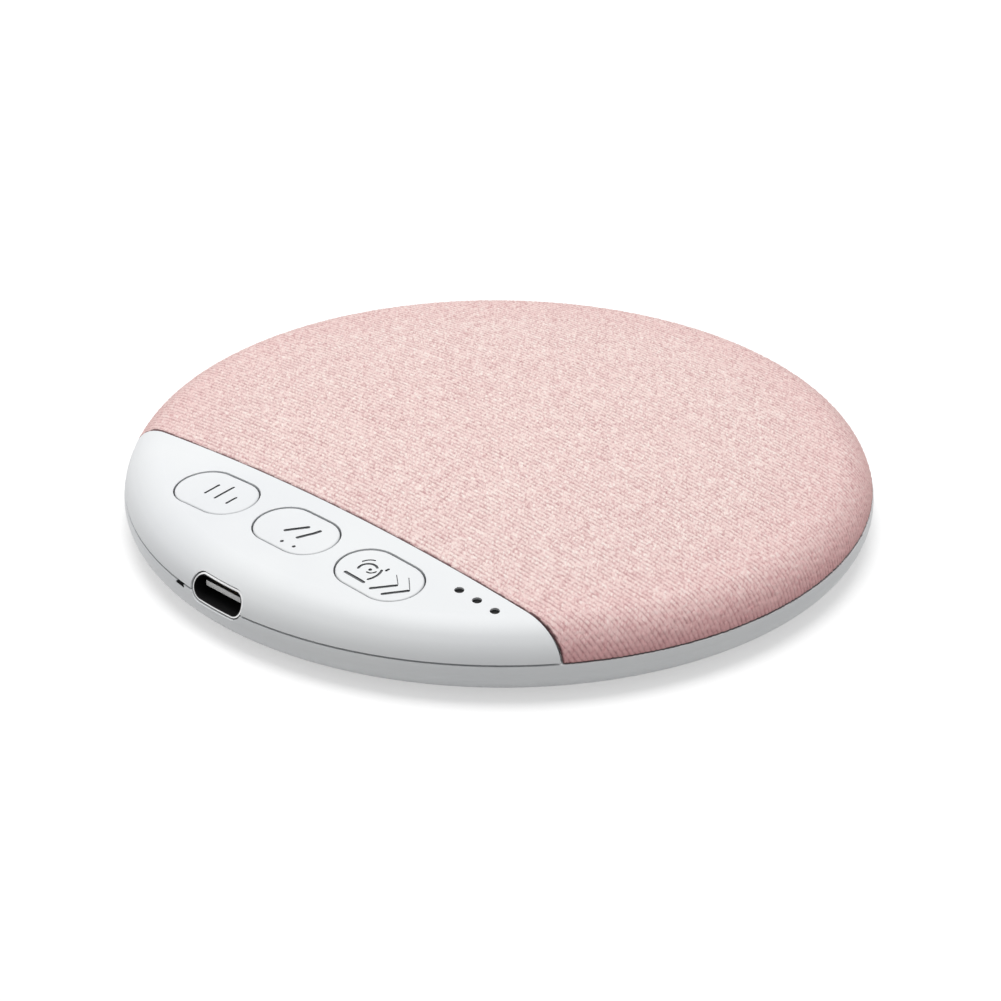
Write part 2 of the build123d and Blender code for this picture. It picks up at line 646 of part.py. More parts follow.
def screw(place, radius, length, head_radius, head_height):
    """A pan-head screw with a cross recess: the head stands on z = 0 and the shank hangs below."""
    arm = head_radius * DRIVE_SLOT_SHARE
    half = DRIVE_SLOT_WIDTH / 2
    low = head_height - DRIVE_SLOT_DEPTH
    body = column(0, 0, head_radius, 0, head_height) + column(0, 0, radius, -length, 0)
    body -= block((-arm, -half, low), (arm, half, head_height))
    body -= block((-half, -arm, low), (half, arm, head_height))
    return Pos(*place) * body


def case_screws():
    seat = SEAM_HEIGHT + SCREW_SEAT
    length = SCREW_SEAT + SCREW_BITE
    return Compound(
        [screw((x, y, seat), SCREW_RADIUS, length, SCREW_HEAD_RADIUS, SCREW_HEAD_HEIGHT) for x, y in CASE_BOSS_PLACES]
    )


def board_screws():
    """Screws that go up through the board, with their heads below it."""
    length = BOARD_THICK + BOARD_SCREW_BITE
    turned = Rot(180, 0, 0) * screw(
        (0, 0, 0), BOARD_SCREW_RADIUS, length, BOARD_SCREW_HEAD_RADIUS, BOARD_SCREW_HEAD_HEIGHT
    )
    return Compound([Pos(x, y, BOARD_BOTTOM) * turned for x, y in BOARD_POST_PLACES])


# Circuit board

def main_board():
    board = column(0, 0, BOARD_RADIUS, BOARD_BOTTOM, BOARD_TOP)
    board &= block((-SPAN, -SPAN, BOARD_BOTTOM), (SPAN, -BOARD_CHORD, BOARD_TOP))
    for x, y in BOARD_POST_PLACES:
        board -= column(x, y, BOARD_SCREW_RADIUS + SCREW_CLEARANCE, BOARD_BOTTOM, BOARD_TOP)
    return board


def chip_place(share):
    """A place in the row of chips, at a share of the board's radius from the middle."""
    return (share * BOARD_RADIUS, CHIP_ROW)


def switch_bodies():
    well = PLUNGER_RADIUS + PLUNGER_CLEARANCE
    bodies = []
    for x, y in BUTTON_PLACES.values():
        body = on_board((x, y), SWITCH_SIZE, SWITCH_SIZE, SWITCH_HEIGHT)
        bodies.append(body - column(x, y, well, BOARD_TOP + SWITCH_FLOOR, BOARD_TOP + SWITCH_HEIGHT))
    return Compound(bodies)


def switch_plunger(place):
    bottom = BOARD_TOP + SWITCH_FLOOR + PLUNGER_SLACK + BUTTON_TRAVEL
    return column(*place, PLUNGER_RADIUS, bottom, PLUNGER_TOP)


def usb_shell():
    """A thin sleeve whose mouth follows the rim."""
    sleeve = port_prism(0) - port_prism(-USB_SKIN)
    return sleeve & upper_form(USB_RECESS)


def usb_tongue():
    """The plastic block at the back of the socket with the tongue standing out of it."""
    plug = port_prism(-USB_SKIN, USB_BACK)
    low = (-PORT_SHIFT - TONGUE_WIDTH / 2, -USB_FRONT + TONGUE_SETBACK, PORT_Z - TONGUE_THICK / 2)
    high = (-PORT_SHIFT + TONGUE_WIDTH / 2, -USB_FRONT + USB_DEPTH, PORT_Z + TONGUE_THICK / 2)
    return plug + block(low, high)


def usb_contacts():
    """Rows of contact strips on both faces of the tongue."""
    front = -USB_FRONT + TONGUE_SETBACK + CONTACT_SETBACK
    back = -USB_FRONT + USB_DEPTH - USB_BACK
    strips = []
    for i in range(CONTACT_COUNT):
        x = (i - (CONTACT_COUNT - 1) / 2) * CONTACT_PITCH - PORT_SHIFT
        for low in (PORT_Z + TONGUE_THICK / 2, PORT_Z - TONGUE_THICK / 2 - CONTACT_THICK):
            high = low + CONTACT_THICK
            strips.append(block((x - CONTACT_WIDTH / 2, front, low), (x + CONTACT_WIDTH / 2, back, high)))
    return Compound(strips)


def indicator_leds():
    return Compound([on_board(place, LED_LENGTH, LED_WIDTH, LED_HEIGHT) for place in LIGHT_PLACES])


def board_capacitors():
    places = [chip_place(share) for share in CAPACITOR_SHARES]
    return Compound([on_board(place, CAPACITOR_WIDTH, CAPACITOR_LENGTH, CAPACITOR_HEIGHT) for place in places])


def power_inductor():
    coil = on_board(chip_place(INDUCTOR_SHARE), INDUCTOR_SIZE, INDUCTOR_SIZE, INDUCTOR_HEIGHT)
    return fillet(coil.edges().filter_by(Axis.Z), INDUCTOR_ROUND)


def microphone():
    """A small can at the board's edge, behind the sound slot."""
    edge = sqrt(BOARD_RADIUS**2 - (SLOT_X + MICROPHONE_LENGTH) ** 2)
    place = (-SLOT_X - MICROPHONE_LENGTH / 2, -edge + MICROPHONE_EDGE_GAP + MICROPHONE_WIDTH / 2)
    return on_board(place, MICROPHONE_LENGTH, MICROPHONE_WIDTH, MICROPHONE_HEIGHT)


def slot_gauze():
    """Dark gauze that fills the sound slot, a little below the rim's surface."""
    return sound_slot(GAUZE_CLEARANCE) & upper_shell(GAUZE_RECESS, WALL)


def wire_socket(x):
    return on_board((x, SOCKET_FACE - SOCKET_DEPTH / 2), SOCKET_LENGTH, SOCKET_DEPTH, SOCKET_HEIGHT)


# Battery and wires

def battery_tape():
    x, y = BATTERY_PLACE
    half_x = BATTERY_WIDTH / 2 - TAPE_MARGIN
    half_y = BATTERY_LENGTH / 2 - TAPE_MARGIN
    return block((x - half_x, y - half_y, WALL), (x + half_x, y + half_y, WALL + TAPE_THICK))


def battery_cell():
    """A flat pouch with rounded long sides."""
    x, y = BATTERY_PLACE
    low = WALL + TAPE_THICK
    half_x = BATTERY_WIDTH / 2
    half_y = BATTERY_LENGTH / 2
    cell = block((x - half_x, y - half_y, low), (x + half_x, y + half_y, low + BATTERY_THICK))
    return fillet(cell.edges().filter_by(Axis.Y), BATTERY_ROUND)


def wire(x, start_y, start_z):
    """One insulated wire from a face at start_y to a socket on the board, rising over the board's edge."""
    points = [
        (x, start_y, start_z),
        (x, start_y - WIRE_STRAIGHT, start_z),
        (x, SOCKET_FACE + WIRE_STRAIGHT, WIRE_ENTRY),
        (x, SOCKET_FACE, WIRE_ENTRY),
    ]
    path = FilletPolyline(*points, radius=WIRE_BEND)
    section = Plane(points[0], z_dir=(0, -1, 0)) * Circle(WIRE_RADIUS)
    return sweep(section, path=path)


def battery_wire(side):
    x, y = BATTERY_PLACE
    middle = WALL + TAPE_THICK + BATTERY_THICK / 2
    return wire(x + side * WIRE_PITCH / 2, y - BATTERY_LENGTH / 2, middle)


def speaker_wire(side):
    x, y = DRIVER_PLACE
    front = y - DRIVER_OPENING - TERMINAL_DEPTH
    return wire(x + side * WIRE_PITCH / 2, front, FLANGE_BOTTOM - TERMINAL_THICK / 2)


# Loudspeaker

def driver_gasket():
    return tube(*DRIVER_PLACE, DRIVER_RADIUS, DRIVER_OPENING, GASKET_BOTTOM, DRIVER_SEAT)


def driver_basket():
    """A stepped frame: a flange above, a wall, and a vented floor that holds the magnet's cup."""
    flange = tube(*DRIVER_PLACE, DRIVER_RADIUS, BASKET_INNER, FLANGE_BOTTOM, GASKET_BOTTOM)
    wall = tube(*DRIVER_PLACE, DRIVER_OPENING, BASKET_INNER, BASKET_FLOOR_BOTTOM, GASKET_BOTTOM)
    floor = tube(*DRIVER_PLACE, DRIVER_OPENING, YOKE_RADIUS, BASKET_FLOOR_BOTTOM, BASKET_FLOOR_TOP)
    reach = (YOKE_RADIUS + BASKET_INNER) / 2
    vent = (BASKET_INNER - YOKE_RADIUS) / 2 - BASKET_VENT_MARGIN
    for i in range(BASKET_VENTS):
        turn = radians(360 * i / BASKET_VENTS)
        x = DRIVER_PLACE[0] + reach * cos(turn)
        y = DRIVER_PLACE[1] + reach * sin(turn)
        floor -= column(x, y, vent, BASKET_FLOOR_BOTTOM, BASKET_FLOOR_TOP)
    return flange + wall + floor


def driver_terminal():
    """The small block with the two solder tabs, outside the basket's wall."""
    x, y = DRIVER_PLACE
    back = y - DRIVER_OPENING
    low = (x - TERMINAL_LENGTH / 2, back - TERMINAL_DEPTH, FLANGE_BOTTOM - TERMINAL_THICK)
    return block(low, (x + TERMINAL_LENGTH / 2, back, FLANGE_BOTTOM))


def driver_yoke():
    cup = column(*DRIVER_PLACE, YOKE_RADIUS, YOKE_BOTTOM, YOKE_TOP)
    return cup - column(*DRIVER_PLACE, YOKE_RADIUS - YOKE_WALL, YOKE_BOTTOM + YOKE_FLOOR, YOKE_TOP)


def driver_magnet():
    return column(*DRIVER_PLACE, POLE_RADIUS, YOKE_BOTTOM + YOKE_FLOOR, YOKE_TOP - POLE_THICK)


def driver_pole_plate():
    return column(*DRIVER_PLACE, POLE_RADIUS, YOKE_TOP - POLE_THICK, YOKE_TOP)


def voice_coil():
    return tube(*DRIVER_PLACE, COIL_OUTER, COIL_INNER, COIL_BOTTOM, CONE_FOOT)


def diaphragm():
    """A shallow cone that stands on the coil and carries the surround at its edge."""
    profile = Polyline(
        (COIL_INNER, CONE_FOOT),
        (COIL_OUTER, CONE_FOOT),
        (CONE_RADIUS, GASKET_BOTTOM),
        (CONE_RADIUS, GASKET_BOTTOM + CONE_THICK),
        (COIL_OUTER, CONE_FOOT + CONE_THICK),
        (COIL_INNER, CONE_FOOT + CONE_THICK),
        close=True,
    )
    return spun(profile, DRIVER_PLACE)


def cap_arc(reach, rise, foot):
    """The radius, centre height and half angle of a shallow dome of the given reach and rise."""
    radius = (reach**2 + rise**2) / (2 * rise)
    half = degrees(atan2(reach, radius - rise))
    return radius, foot + rise - radius, half


def dust_cap():
    """A thin dome over the coil."""
    foot = CONE_FOOT + CONE_THICK
    inner_reach = COIL_OUTER - CONE_THICK
    inner_rise = CAP_RISE - CONE_THICK
    outer, outer_z, outer_half = cap_arc(COIL_OUTER, CAP_RISE, foot)
    inner, inner_z, inner_half = cap_arc(inner_reach, inner_rise, foot)
    profile = (
        CenterArc((0, outer_z), outer, 90 - outer_half, outer_half)
        + Line((0, foot + CAP_RISE), (0, foot + inner_rise))
        + CenterArc((0, inner_z), inner, 90 - inner_half, inner_half)
        + Line((inner_reach, foot), (COIL_OUTER, foot))
    )
    return spun(profile, DRIVER_PLACE)


def driver_surround():
    """A half-round roll of rubber from the cone's edge to the basket, with a flat edge glued to the flange."""
    roll = SURROUND_WIDTH / 2
    middle = CONE_RADIUS + roll
    low = GASKET_BOTTOM
    profile = (
        CenterArc((middle, low), roll, 0, 180)
        + Line((CONE_RADIUS, low), (CONE_RADIUS + SURROUND_THICK, low))
        + CenterArc((middle, low), roll - SURROUND_THICK, 0, 180)
        + Line((BASKET_INNER - SURROUND_THICK, low), (BASKET_INNER, low))
    )
    edge = tube(0, 0, BASKET_INNER + SURROUND_LEDGE, BASKET_INNER - SURROUND_THICK, low, low + SURROUND_THICK)
    return Pos(*DRIVER_PLACE, 0) * (spun(profile) + edge)


def all_parts():
    parts = {
        "bottom_shell": bottom_shell(),
        "upper_housing": upper_housing(),
        "grille_carrier": grille_carrier(),
        "fabric_cover": fabric_cover(),
        "light_guide": light_guide(),
        "case_screws": case_screws(),
        "board_screws": board_screws(),
        "main_board": main_board(),
        "switch_bodies": switch_bodies(),
        "usb_shell": usb_shell(),
        "usb_tongue": usb_tongue(),
        "usb_contacts": usb_contacts(),
        "indicator_leds": indicator_leds(),
        "radio_chip": on_board(chip_place(RADIO_CHIP_SHARE), RADIO_CHIP_SIZE, RADIO_CHIP_SIZE, CHIP_HEIGHT),
        "sound_memory_chip": on_board(chip_place(MEMORY_SHARE), MEMORY_LENGTH, MEMORY_WIDTH, CHIP_HEIGHT),
        "crystal_can": on_board(chip_place(CRYSTAL_SHARE), CRYSTAL_LENGTH, CRYSTAL_WIDTH, CRYSTAL_HEIGHT),
        "amplifier_chip": on_board(chip_place(AMPLIFIER_SHARE), AMPLIFIER_SIZE, AMPLIFIER_SIZE, CHIP_HEIGHT),
        "power_inductor": power_inductor(),
        "board_capacitors": board_capacitors(),
        "microphone": microphone(),
        "slot_gauze": slot_gauze(),
        "battery_socket": wire_socket(BATTERY_PLACE[0]),
        "speaker_socket": wire_socket(DRIVER_PLACE[0]),
        "battery_tape": battery_tape(),
        "battery_cell": battery_cell(),
        "battery_wire_red": battery_wire(-1),
        "battery_wire_black": battery_wire(1),
        "speaker_wire_red": speaker_wire(-1),
        "speaker_wire_black": speaker_wire(1),
        "driver_gasket": driver_gasket(),
        "driver_basket": driver_basket(),
        "driver_terminal": driver_terminal(),
        "driver_yoke": driver_yoke(),
        "driver_magnet": driver_magnet(),
        "driver_pole_plate": driver_pole_plate(),
        "voice_coil": voice_coil(),
        "diaphragm": diaphragm(),
        "dust_cap": dust_cap(),
        "driver_surround": driver_surround(),
    }
    for side, place in BUTTON_PLACES.items():
        parts[f"{side}_button"] = button(place)
        parts[f"{side}_switch_plunger"] = switch_plunger(place)
    return parts


def main():
    os.makedirs("parts", exist_ok=True)
    for name, shape in all_parts().items():
        export_step(shape, f"parts/{name}.step")


main()
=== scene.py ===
"""Looks of a round pillow speaker: woven cloth, satin plastic, signs cut into the buttons, camera and light.

The frame is the part's own: +Z up, origin at the centre of the flat base, the charging socket towards -Y.
Lengths are in metres.
"""

import json
import math

import bpy
import numpy as np
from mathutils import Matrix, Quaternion, Vector


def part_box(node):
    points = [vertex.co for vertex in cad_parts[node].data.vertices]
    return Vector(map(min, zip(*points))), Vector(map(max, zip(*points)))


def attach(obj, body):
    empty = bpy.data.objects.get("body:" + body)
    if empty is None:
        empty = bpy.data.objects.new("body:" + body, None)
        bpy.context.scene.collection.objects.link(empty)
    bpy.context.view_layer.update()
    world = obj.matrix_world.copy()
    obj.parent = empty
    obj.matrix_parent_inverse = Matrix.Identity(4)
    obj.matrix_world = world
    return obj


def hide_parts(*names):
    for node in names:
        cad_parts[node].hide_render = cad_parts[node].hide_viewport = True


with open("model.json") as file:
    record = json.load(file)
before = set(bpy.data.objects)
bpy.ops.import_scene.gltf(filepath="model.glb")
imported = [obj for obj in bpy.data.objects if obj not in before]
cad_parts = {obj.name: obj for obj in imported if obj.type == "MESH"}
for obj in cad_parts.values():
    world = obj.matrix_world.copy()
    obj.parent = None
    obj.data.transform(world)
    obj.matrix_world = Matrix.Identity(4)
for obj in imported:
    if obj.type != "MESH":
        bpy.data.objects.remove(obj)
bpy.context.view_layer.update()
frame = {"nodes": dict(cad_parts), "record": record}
NODES = frame["nodes"]
MM = 0.001

# Outer form, as the solids have it
DISC_RADIUS = 48.0 * MM
BODY_HEIGHT = 12.0 * MM
EQUATOR_Z = 3.9 * MM
SHOULDER_RADIUS = 5.6 * MM
RIM_CENTRE = DISC_RADIUS - SHOULDER_RADIUS
CROWN_RISE = BODY_HEIGHT - EQUATOR_Z
DOME_RADIUS = (RIM_CENTRE**2 + CROWN_RISE**2 - SHOULDER_RADIUS**2) / (2 * (CROWN_RISE - SHOULDER_RADIUS))
DOME_CENTRE_Z = BODY_HEIGHT - DOME_RADIUS
DOME_ANGLE = math.atan2(EQUATOR_Z - DOME_CENTRE_Z, RIM_CENTRE)

# Cloth: ribs along X, each a chain of stitches
RIB_PITCH = 0.64 * MM
STITCH_LENGTH = 0.9 * MM
STITCH_STEPS = 4
STITCH_STEP = STITCH_LENGTH / STITCH_STEPS
WEAVE_DEPTH = 0.17 * MM
EDGE_TILT = math.radians(4.5)
EDGE_ROLL = 0.20 * MM
FOOT_ROLL = 0.14 * MM
FOOT_DROP = 0.10 * MM
# Width of the painted shade along the cloth's rolled front edge
HEM_SHADE_WIDTH = 0.36 * MM
CLOTH_TUCKS = (0.35 * MM, 0.75 * MM)
CLOTH_SNAPS = 14
PROFILE_STEPS = 4000
LEAST_REACH = 1e-12
STITCH_END_SHARE = 0.15
STITCH_POWER = 3
RIB_GAP_SHARES = (-1.1, 0.2)
HEIGHT_VARIATION_SHARE = 0.30
HEIGHT_LIMIT_SHARES = (-1.3, 1.2)
SHIFT_SHARE = 0.12
WANDER_SHARE = 0.30
WANDER_LENGTHS = (4.0 * MM, 9.0 * MM)
CLOTH_SEED = 11
SQUARE_CORNERS = ((0, 0), (1, 0), (1, 1), (0, 1))

# Signs cut into the buttons, in millimetres from each button's centre
SIGN_DEPTH = 0.16 * MM
SIGN_RISE = 0.30 * MM
SIGN_STEP = 0.10 * MM
SIGN_TIP_SHARE = 0.06
SIGN_TIP_STEPS = 7
BROAD = 0.50
BOLD = 0.44
BAR = 0.34
FINE = 0.24
HAIR = 0.11
DOT = 0.52
BAR_SIGN = [
    (BAR, [(-1.1, -1.1), (-1.1, 1.5)]),
    (BAR, [(0.85, -1.2), (0.85, 2.2)]),
    (BAR, [(3.0, -1.2), (3.0, 0.7)]),
]
RAIN_SIGN = [
    (BROAD, [(-1.2, -1.0), (0.8, 1.6)]),
    (BROAD, [(1.2, -1.2), (2.2, 0.9), (2.5, 1.9)]),
    (DOT, [(0.17, -2.7), (0.63, -2.7)]),
    (DOT, [(2.17, -2.6), (2.63, -2.6)]),
]
TIMER_SIGN = [
    (BOLD, [(-3.7, -2.27), (-0.1, -2.33)]),
    (DOT, [(-1.67, -0.25), (-1.47, 0.17)]),
    (BAR, [(0.02, 0.9), (0.02, 1.6)]),
    (BOLD, [(1.1, -2.8), (3.2, -0.05)]),
    (HAIR, [(3.2, -0.05), (1.55, 1.3)]),
    (BOLD, [(2.95, -2.67), (5.0, 0.13)]),
    (HAIR, [(5.0, 0.13), (3.05, 1.87)]),
]
# Arcs of the timer sign: stroke width, centre, radius, and start and end in degrees
TIMER_RINGS = [
    (FINE, -1.45, 0.08, 0.71, 255, 372),
    (BAR, -1.83, -0.22, 1.17, 49, 214),
    (BAR, -2.50, -0.50, 2.42, -30, 35),
    (FINE, -2.03, 0.25, 1.48, 104, 172),
]
RING_STEPS = 28
SMOOTH_ANGLE = math.radians(35)
WELD_DIGITS = 8
SECTION_DIGITS = 9

# Surfaces in general: tones as screen values, grains as features per metre
FINE_RELIEF = 0.01 * MM
COARSE_RELIEF = 0.02 * MM
GENTLE_STOPS = (0.35, 0.65)
WIDE_STOPS = (0.3, 0.7)
GRAIN_RATIO = 6
PLAIN_DETAIL = 1.0
SOFT_DETAIL = 2.0
DETAIL = 3.0
RICH_DETAIL = 4.0
# Each finish: dark and light tone, least and most roughness, and what else it needs
FINISHES = {
    "sign_paint": ((84, 86, 88), (100, 102, 104), (0.5, 0.65), {}),
    "dark_plastic": ((38, 38, 40), (48, 48, 50), (0.5, 0.65), {}),
    "smoked_plastic": ((8, 8, 9), (13, 13, 14), (0.3, 0.4), {"gloss": 0.15}),
    "grey_plastic": ((196, 197, 198), (206, 207, 208), (0.4, 0.55), {}),
    "ferrite": ((54, 54, 56), (68, 68, 70), (0.55, 0.7), {"grain": 1500.0, "bump": 0.3}),
    "ceramic": ((156, 126, 92), (172, 142, 106), (0.45, 0.6), {}),
    "foil": ((190, 192, 196), (208, 210, 214), (0.3, 0.42), {"metal": 1.0, "bump": 0.3}),
    "foam": ((14, 14, 15), (24, 24, 25), (0.85, 0.95), {"grain": 3000.0, "bump": 0.8, "gloss": 0.1}),
    "cone": ((44, 42, 42), (60, 58, 57), (0.7, 0.85), {"grain": 2000.0, "bump": 0.5}),
    "rubber": ((28, 28, 29), (38, 38, 39), (0.55, 0.7), {"grain": 1200.0}),
    "red_insulation": ((178, 30, 28), (194, 40, 36), (0.35, 0.5), {}),
    "black_insulation": ((22, 22, 23), (32, 32, 33), (0.35, 0.5), {}),
}
DRAWN_METALS = {
    "steel": ((196, 197, 199), (224, 225, 227), (0.22, 0.36)),
    "nickel": ((206, 204, 200), (228, 226, 222), (0.16, 0.28)),
    "gold_contacts": ((206, 166, 84), (226, 190, 110), (0.2, 0.35)),
    "copper": ((176, 98, 56), (204, 124, 76), (0.25, 0.4)),
}
DRAWN_GRAINS = (400.0, 9000.0, 9000.0)
DRAWN_RELIEF_SHARE = 0.10
OWN_FINISHES = {"usb_shell": "painted_light_sleeve", "usb_tongue": "tongue_plastic"}

# White plastic
PLASTIC_TONES = ((232, 234, 236), (236, 238, 239))
# Painted shade: the grey the plastic takes in crevices and narrow gaps between parts
PLASTIC_CREVICE_SHADE = (150, 152, 155)
PLASTIC_ROUGH = (0.36, 0.44)
PLASTIC_GLOSS = 0.28
PLASTIC_TONE_GRAIN = 55.0
PLASTIC_ROUGH_GRAIN = 160.0
PLASTIC_SKIN_GRAIN = 9000.0
PLASTIC_RELIEF_SHARE = 0.10
CREVICE_REACH = 0.30 * MM
CREVICE_SAMPLES = 8
CREVICE_SHADE_SHARES = (0.25, 0.80)

# Circuit board and lamps
TRACK_GRAIN = 180.0
TRACK_SHARE = 0.03
TRACK_TONE = (46, 134, 74)
TRACK_RELIEF_SHARE = 0.2
MASK_TONES = ((16, 92, 50), (22, 106, 58))
MASK_TONE_GRAIN = 300.0
MASK_ROUGH_GRAIN = 900.0
MASK_ROUGH = (0.35, 0.5)
LAMP_TONES = ((244, 236, 190), (250, 246, 220))
LAMP_TONE_GRAIN = 900.0
LAMP_ROUGH_GRAIN = 1500.0
LAMP_ROUGH = (0.15, 0.3)
LAMP_COAT_SHARE = 0.5

# Yarn: each noise is stretched along the stitch, beside the rib and from row to row
TWIST_STRETCH = (2.2, 1.6, 5.3)
TWIST_GRAIN = 1.6
YARN_STRETCH = 0.35
SPECK_STRETCH = (3.1, 1.2, 7.7)
DASH_STRETCH = 1.3
DASH_LAYER = 7.0
FIBRE_SHARES = (0.6, 0.3, 0.10)
CLOTH_TONES = ((225, 191, 190), (240, 213, 209), (247, 226, 220), (252, 240, 234))
CLOTH_TONE_SHARES = (0.30, 0.45, 0.58, 0.72)
CLOTH_SPECK = (196, 146, 147)
SPECK_SHARE = 0.6
SPECK_STOPS = (0.30, 0.44)
CLOTH_GLINT = (255, 246, 240)
GLINT_SHARE = 0.7
GLINT_STOPS = (0.56, 0.70)
# Painted shade: a deeper, darker pink towards the foot, where less light falls than on the crown
CLOTH_LOW_SHADE = (230, 166, 169)
LOW_SHADE_SHARE = 0.75
LOW_HEIGHTS = (5.6 * MM, 10.4 * MM)
# Painted shade in the gaps beside the ribs and between the stitches
CLOTH_GAP_SHADE = (176, 122, 126)
GAP_SHADE_SHARE = 0.8
DASH_SHARES = (0.1, 1.0)
DASH_STOPS = (0.38, 0.62)
SIDE_GAP_SHARES = (0.16, 0.50)
END_GAP_SHARE = 0.35
END_GAP_SHARES = (0.36, 0.50)
# Painted shade where the cloth rolls in against the panel and the lower shell
CLOTH_HEM_SHADE = (104, 68, 72)
HEM_SHADE_SHARE = 0.9
HEM_SHADE_STOPS = (0.35, 0.75)
HEM_SHADE_RAGGED_SHARE = 0.22
CLOTH_ROUGH = (0.78, 0.92)
CLOTH_GLOSS = 0.15
CLOTH_SHEEN = (250, 236, 226)
SHEEN_SHARE = 0.45
SHEEN_ROUGH = 0.45
TWIST_HEIGHT_SHARE = 0.6
CLOTH_RELIEF = 0.06 * MM
CLOTH_RELIEF_SHARE = 0.5

# Charging socket
MOUTH_DEPTHS = (0.35 * MM, 0.55 * MM)
LIP_WIDTHS = (0.14 * MM, 0.22 * MM)
# Painted highlight: the lip's bare steel, brighter and whiter than its own tone
LIP_HIGHLIGHT_TONES = ((246, 246, 247), (252, 252, 253))
LIP_TONE_GRAIN = 2500.0
# Painted shade: near black inside the sleeve, where the socket lies in shade
SLEEVE_SHADE_TONE = (7, 7, 8)
SLEEVE_METAL_SHARES = (0.5, 0.0)
SLEEVE_GLOSS = (0.5, 0.1)
SLEEVE_ROUGH = (0.30, 0.65)
SLEEVE_GRAIN = 5000.0
TONGUE_TIP = 0.10 * MM
# Painted highlight: the pale front edge, brighter than its own tone against the socket's shade
TONGUE_TIP_HIGHLIGHT_TONE = (252, 252, 252)
TONGUE_TONES = ((14, 14, 15), (20, 20, 21))
TONGUE_ROUGH = (0.45, 0.6)
TONGUE_GRAIN = 3000.0
SOCKET_RELIEF_SHARE = 0.1

# Camera, floor and lamps
CAMERA_AZIMUTH = math.radians(44.27)
CAMERA_ELEVATION = math.radians(28.22)
CAMERA_ROLL = math.radians(0.40)
CAMERA_DISTANCE = 418.7 * MM
CAMERA_TARGET = Vector((0.054 * MM, 0.223 * MM, 1.048 * MM))
CAMERA_NEAR = 10 * MM
CAMERA_LENS = 116.5
CAMERA_SENSOR = 36.0
FLOOR_HALF = 3.0
FLOOR_DROP = 0.02 * MM
FLOOR_TONE = (200, 200, 200)
FLOOR_ROUGH = 0.9
FLOOR_GLOSS = 0.1
FLOOR_GLOW_SHARE = 0.50
SKY_SHARE = 0.315
KEY_PLACE = Vector((-0.08, 0.05, 0.65))
KEY_SIZE = 0.55
KEY_POWER = 3.7
FILL_PLACE = Vector((-0.55, -0.25, 0.25))
FILL_SIZE = 0.40
FILL_POWER = 0.25


def linear(red, green, blue):
    """A colour written as screen values from 0 to 255, as the shaders take it."""
    shares = [v / 255 for v in (red, green, blue)]
    return tuple(s / 12.92 if s <= 0.04045 else ((s + 0.055) / 1.055) ** 2.4 for s in shares) + (1.0,)


def add_object(name, data):
    """A new object in the scene."""
    thing = bpy.data.objects.new(name, data)
    bpy.context.scene.collection.objects.link(thing)
    return thing


class Surface:
    """A node material with one principled shader, under construction."""

    def __init__(self, name):
        self.material = bpy.data.materials.new(name)
        self.material.use_nodes = True
        self.tree = self.material.node_tree
        self.tree.nodes.clear()
        self.shader = self.add("ShaderNodeBsdfPrincipled")
        self.output = self.add("ShaderNodeOutputMaterial", {0: self.shader.outputs[0]})

    def feed(self, socket, value):
        if isinstance(value, bpy.types.NodeSocket):
            self.tree.links.new(value, socket)
        else:
            socket.default_value = value

    def add(self, kind, inputs=None, **settings):
        node = self.tree.nodes.new(kind)
        for key, value in settings.items():
            setattr(node, key, value)
        for key, value in (inputs or {}).items():
            self.feed(node.inputs[key], value)
        return node

    def shade(self, **values):
        for key, value in values.items():
            self.feed(self.shader.inputs[key.replace("_", " ")], value)

    def math(self, operation, a, b=0.0):
        return self.add("ShaderNodeMath", {0: a, 1: b}, operation=operation).outputs[0]

    def weighted(self, *pairs):
        """The sum of values, each times its weight."""
        parts = [self.math("MULTIPLY", value, weight) for value, weight in pairs]
        total = parts[0]
        for part in parts[1:]:
            total = self.math("ADD", total, part)
        return total

    def length(self, a, b):
        """The length of a slope with these two sides."""
        squares = self.math("ADD", self.math("MULTIPLY", a, a), self.math("MULTIPLY", b, b))
        return self.math("SQRT", squares)

    def place(self):
        """The point in the object's own frame."""
        return self.add("ShaderNodeTexCoord").outputs["Object"]

    def split(self, vector):
        return self.add("ShaderNodeSeparateXYZ", {0: vector}).outputs

    def point(self, x, y, z=0.0):
        return self.add("ShaderNodeCombineXYZ", {0: x, 1: y, 2: z}).outputs[0]

    def noise(self, grain=1.0, detail=DETAIL, vector=None):
        inputs = {"Vector": vector or self.place(), "Scale": grain, "Detail": detail}
        return self.add("ShaderNodeTexNoise", inputs).outputs[0]

    def stretched(self, x, y, z):
        """The point with each direction scaled."""
        return self.add("ShaderNodeMapping", {0: self.place(), "Scale": (x, y, z)}).outputs[0]

    def spread(self, value, low, high, start=0.0, end=1.0):
        """A value carried over from one range to another."""
        inputs = {0: value, 1: start, 2: end, 3: low, 4: high}
        return self.add("ShaderNodeMapRange", inputs).outputs[0]

    def ramp(self, factor, tones, stops):
        """Tones that follow a value, each at its stop."""
        node = self.add("ShaderNodeValToRGB", {0: factor})
        elements = node.color_ramp.elements
        for i, (position, tone) in enumerate(zip(stops, tones)):
            element = elements[i] if i < len(elements) else elements.new(position)
            element.position = position
            element.color = linear(*tone)
        return node.outputs[0]

    def mix(self, factor, a, b):
        node = self.add("ShaderNodeMix", data_type="RGBA")
        self.feed(node.inputs["Factor"], factor)
        self.feed(node.inputs[6], a)
        self.feed(node.inputs[7], b)
        return node.outputs[2]

    def relief(self, height, strength, distance):
        inputs = {"Height": height, "Strength": strength, "Distance": distance}
        self.shade(Normal=self.add("ShaderNodeBump", inputs).outputs[0])


# Materials

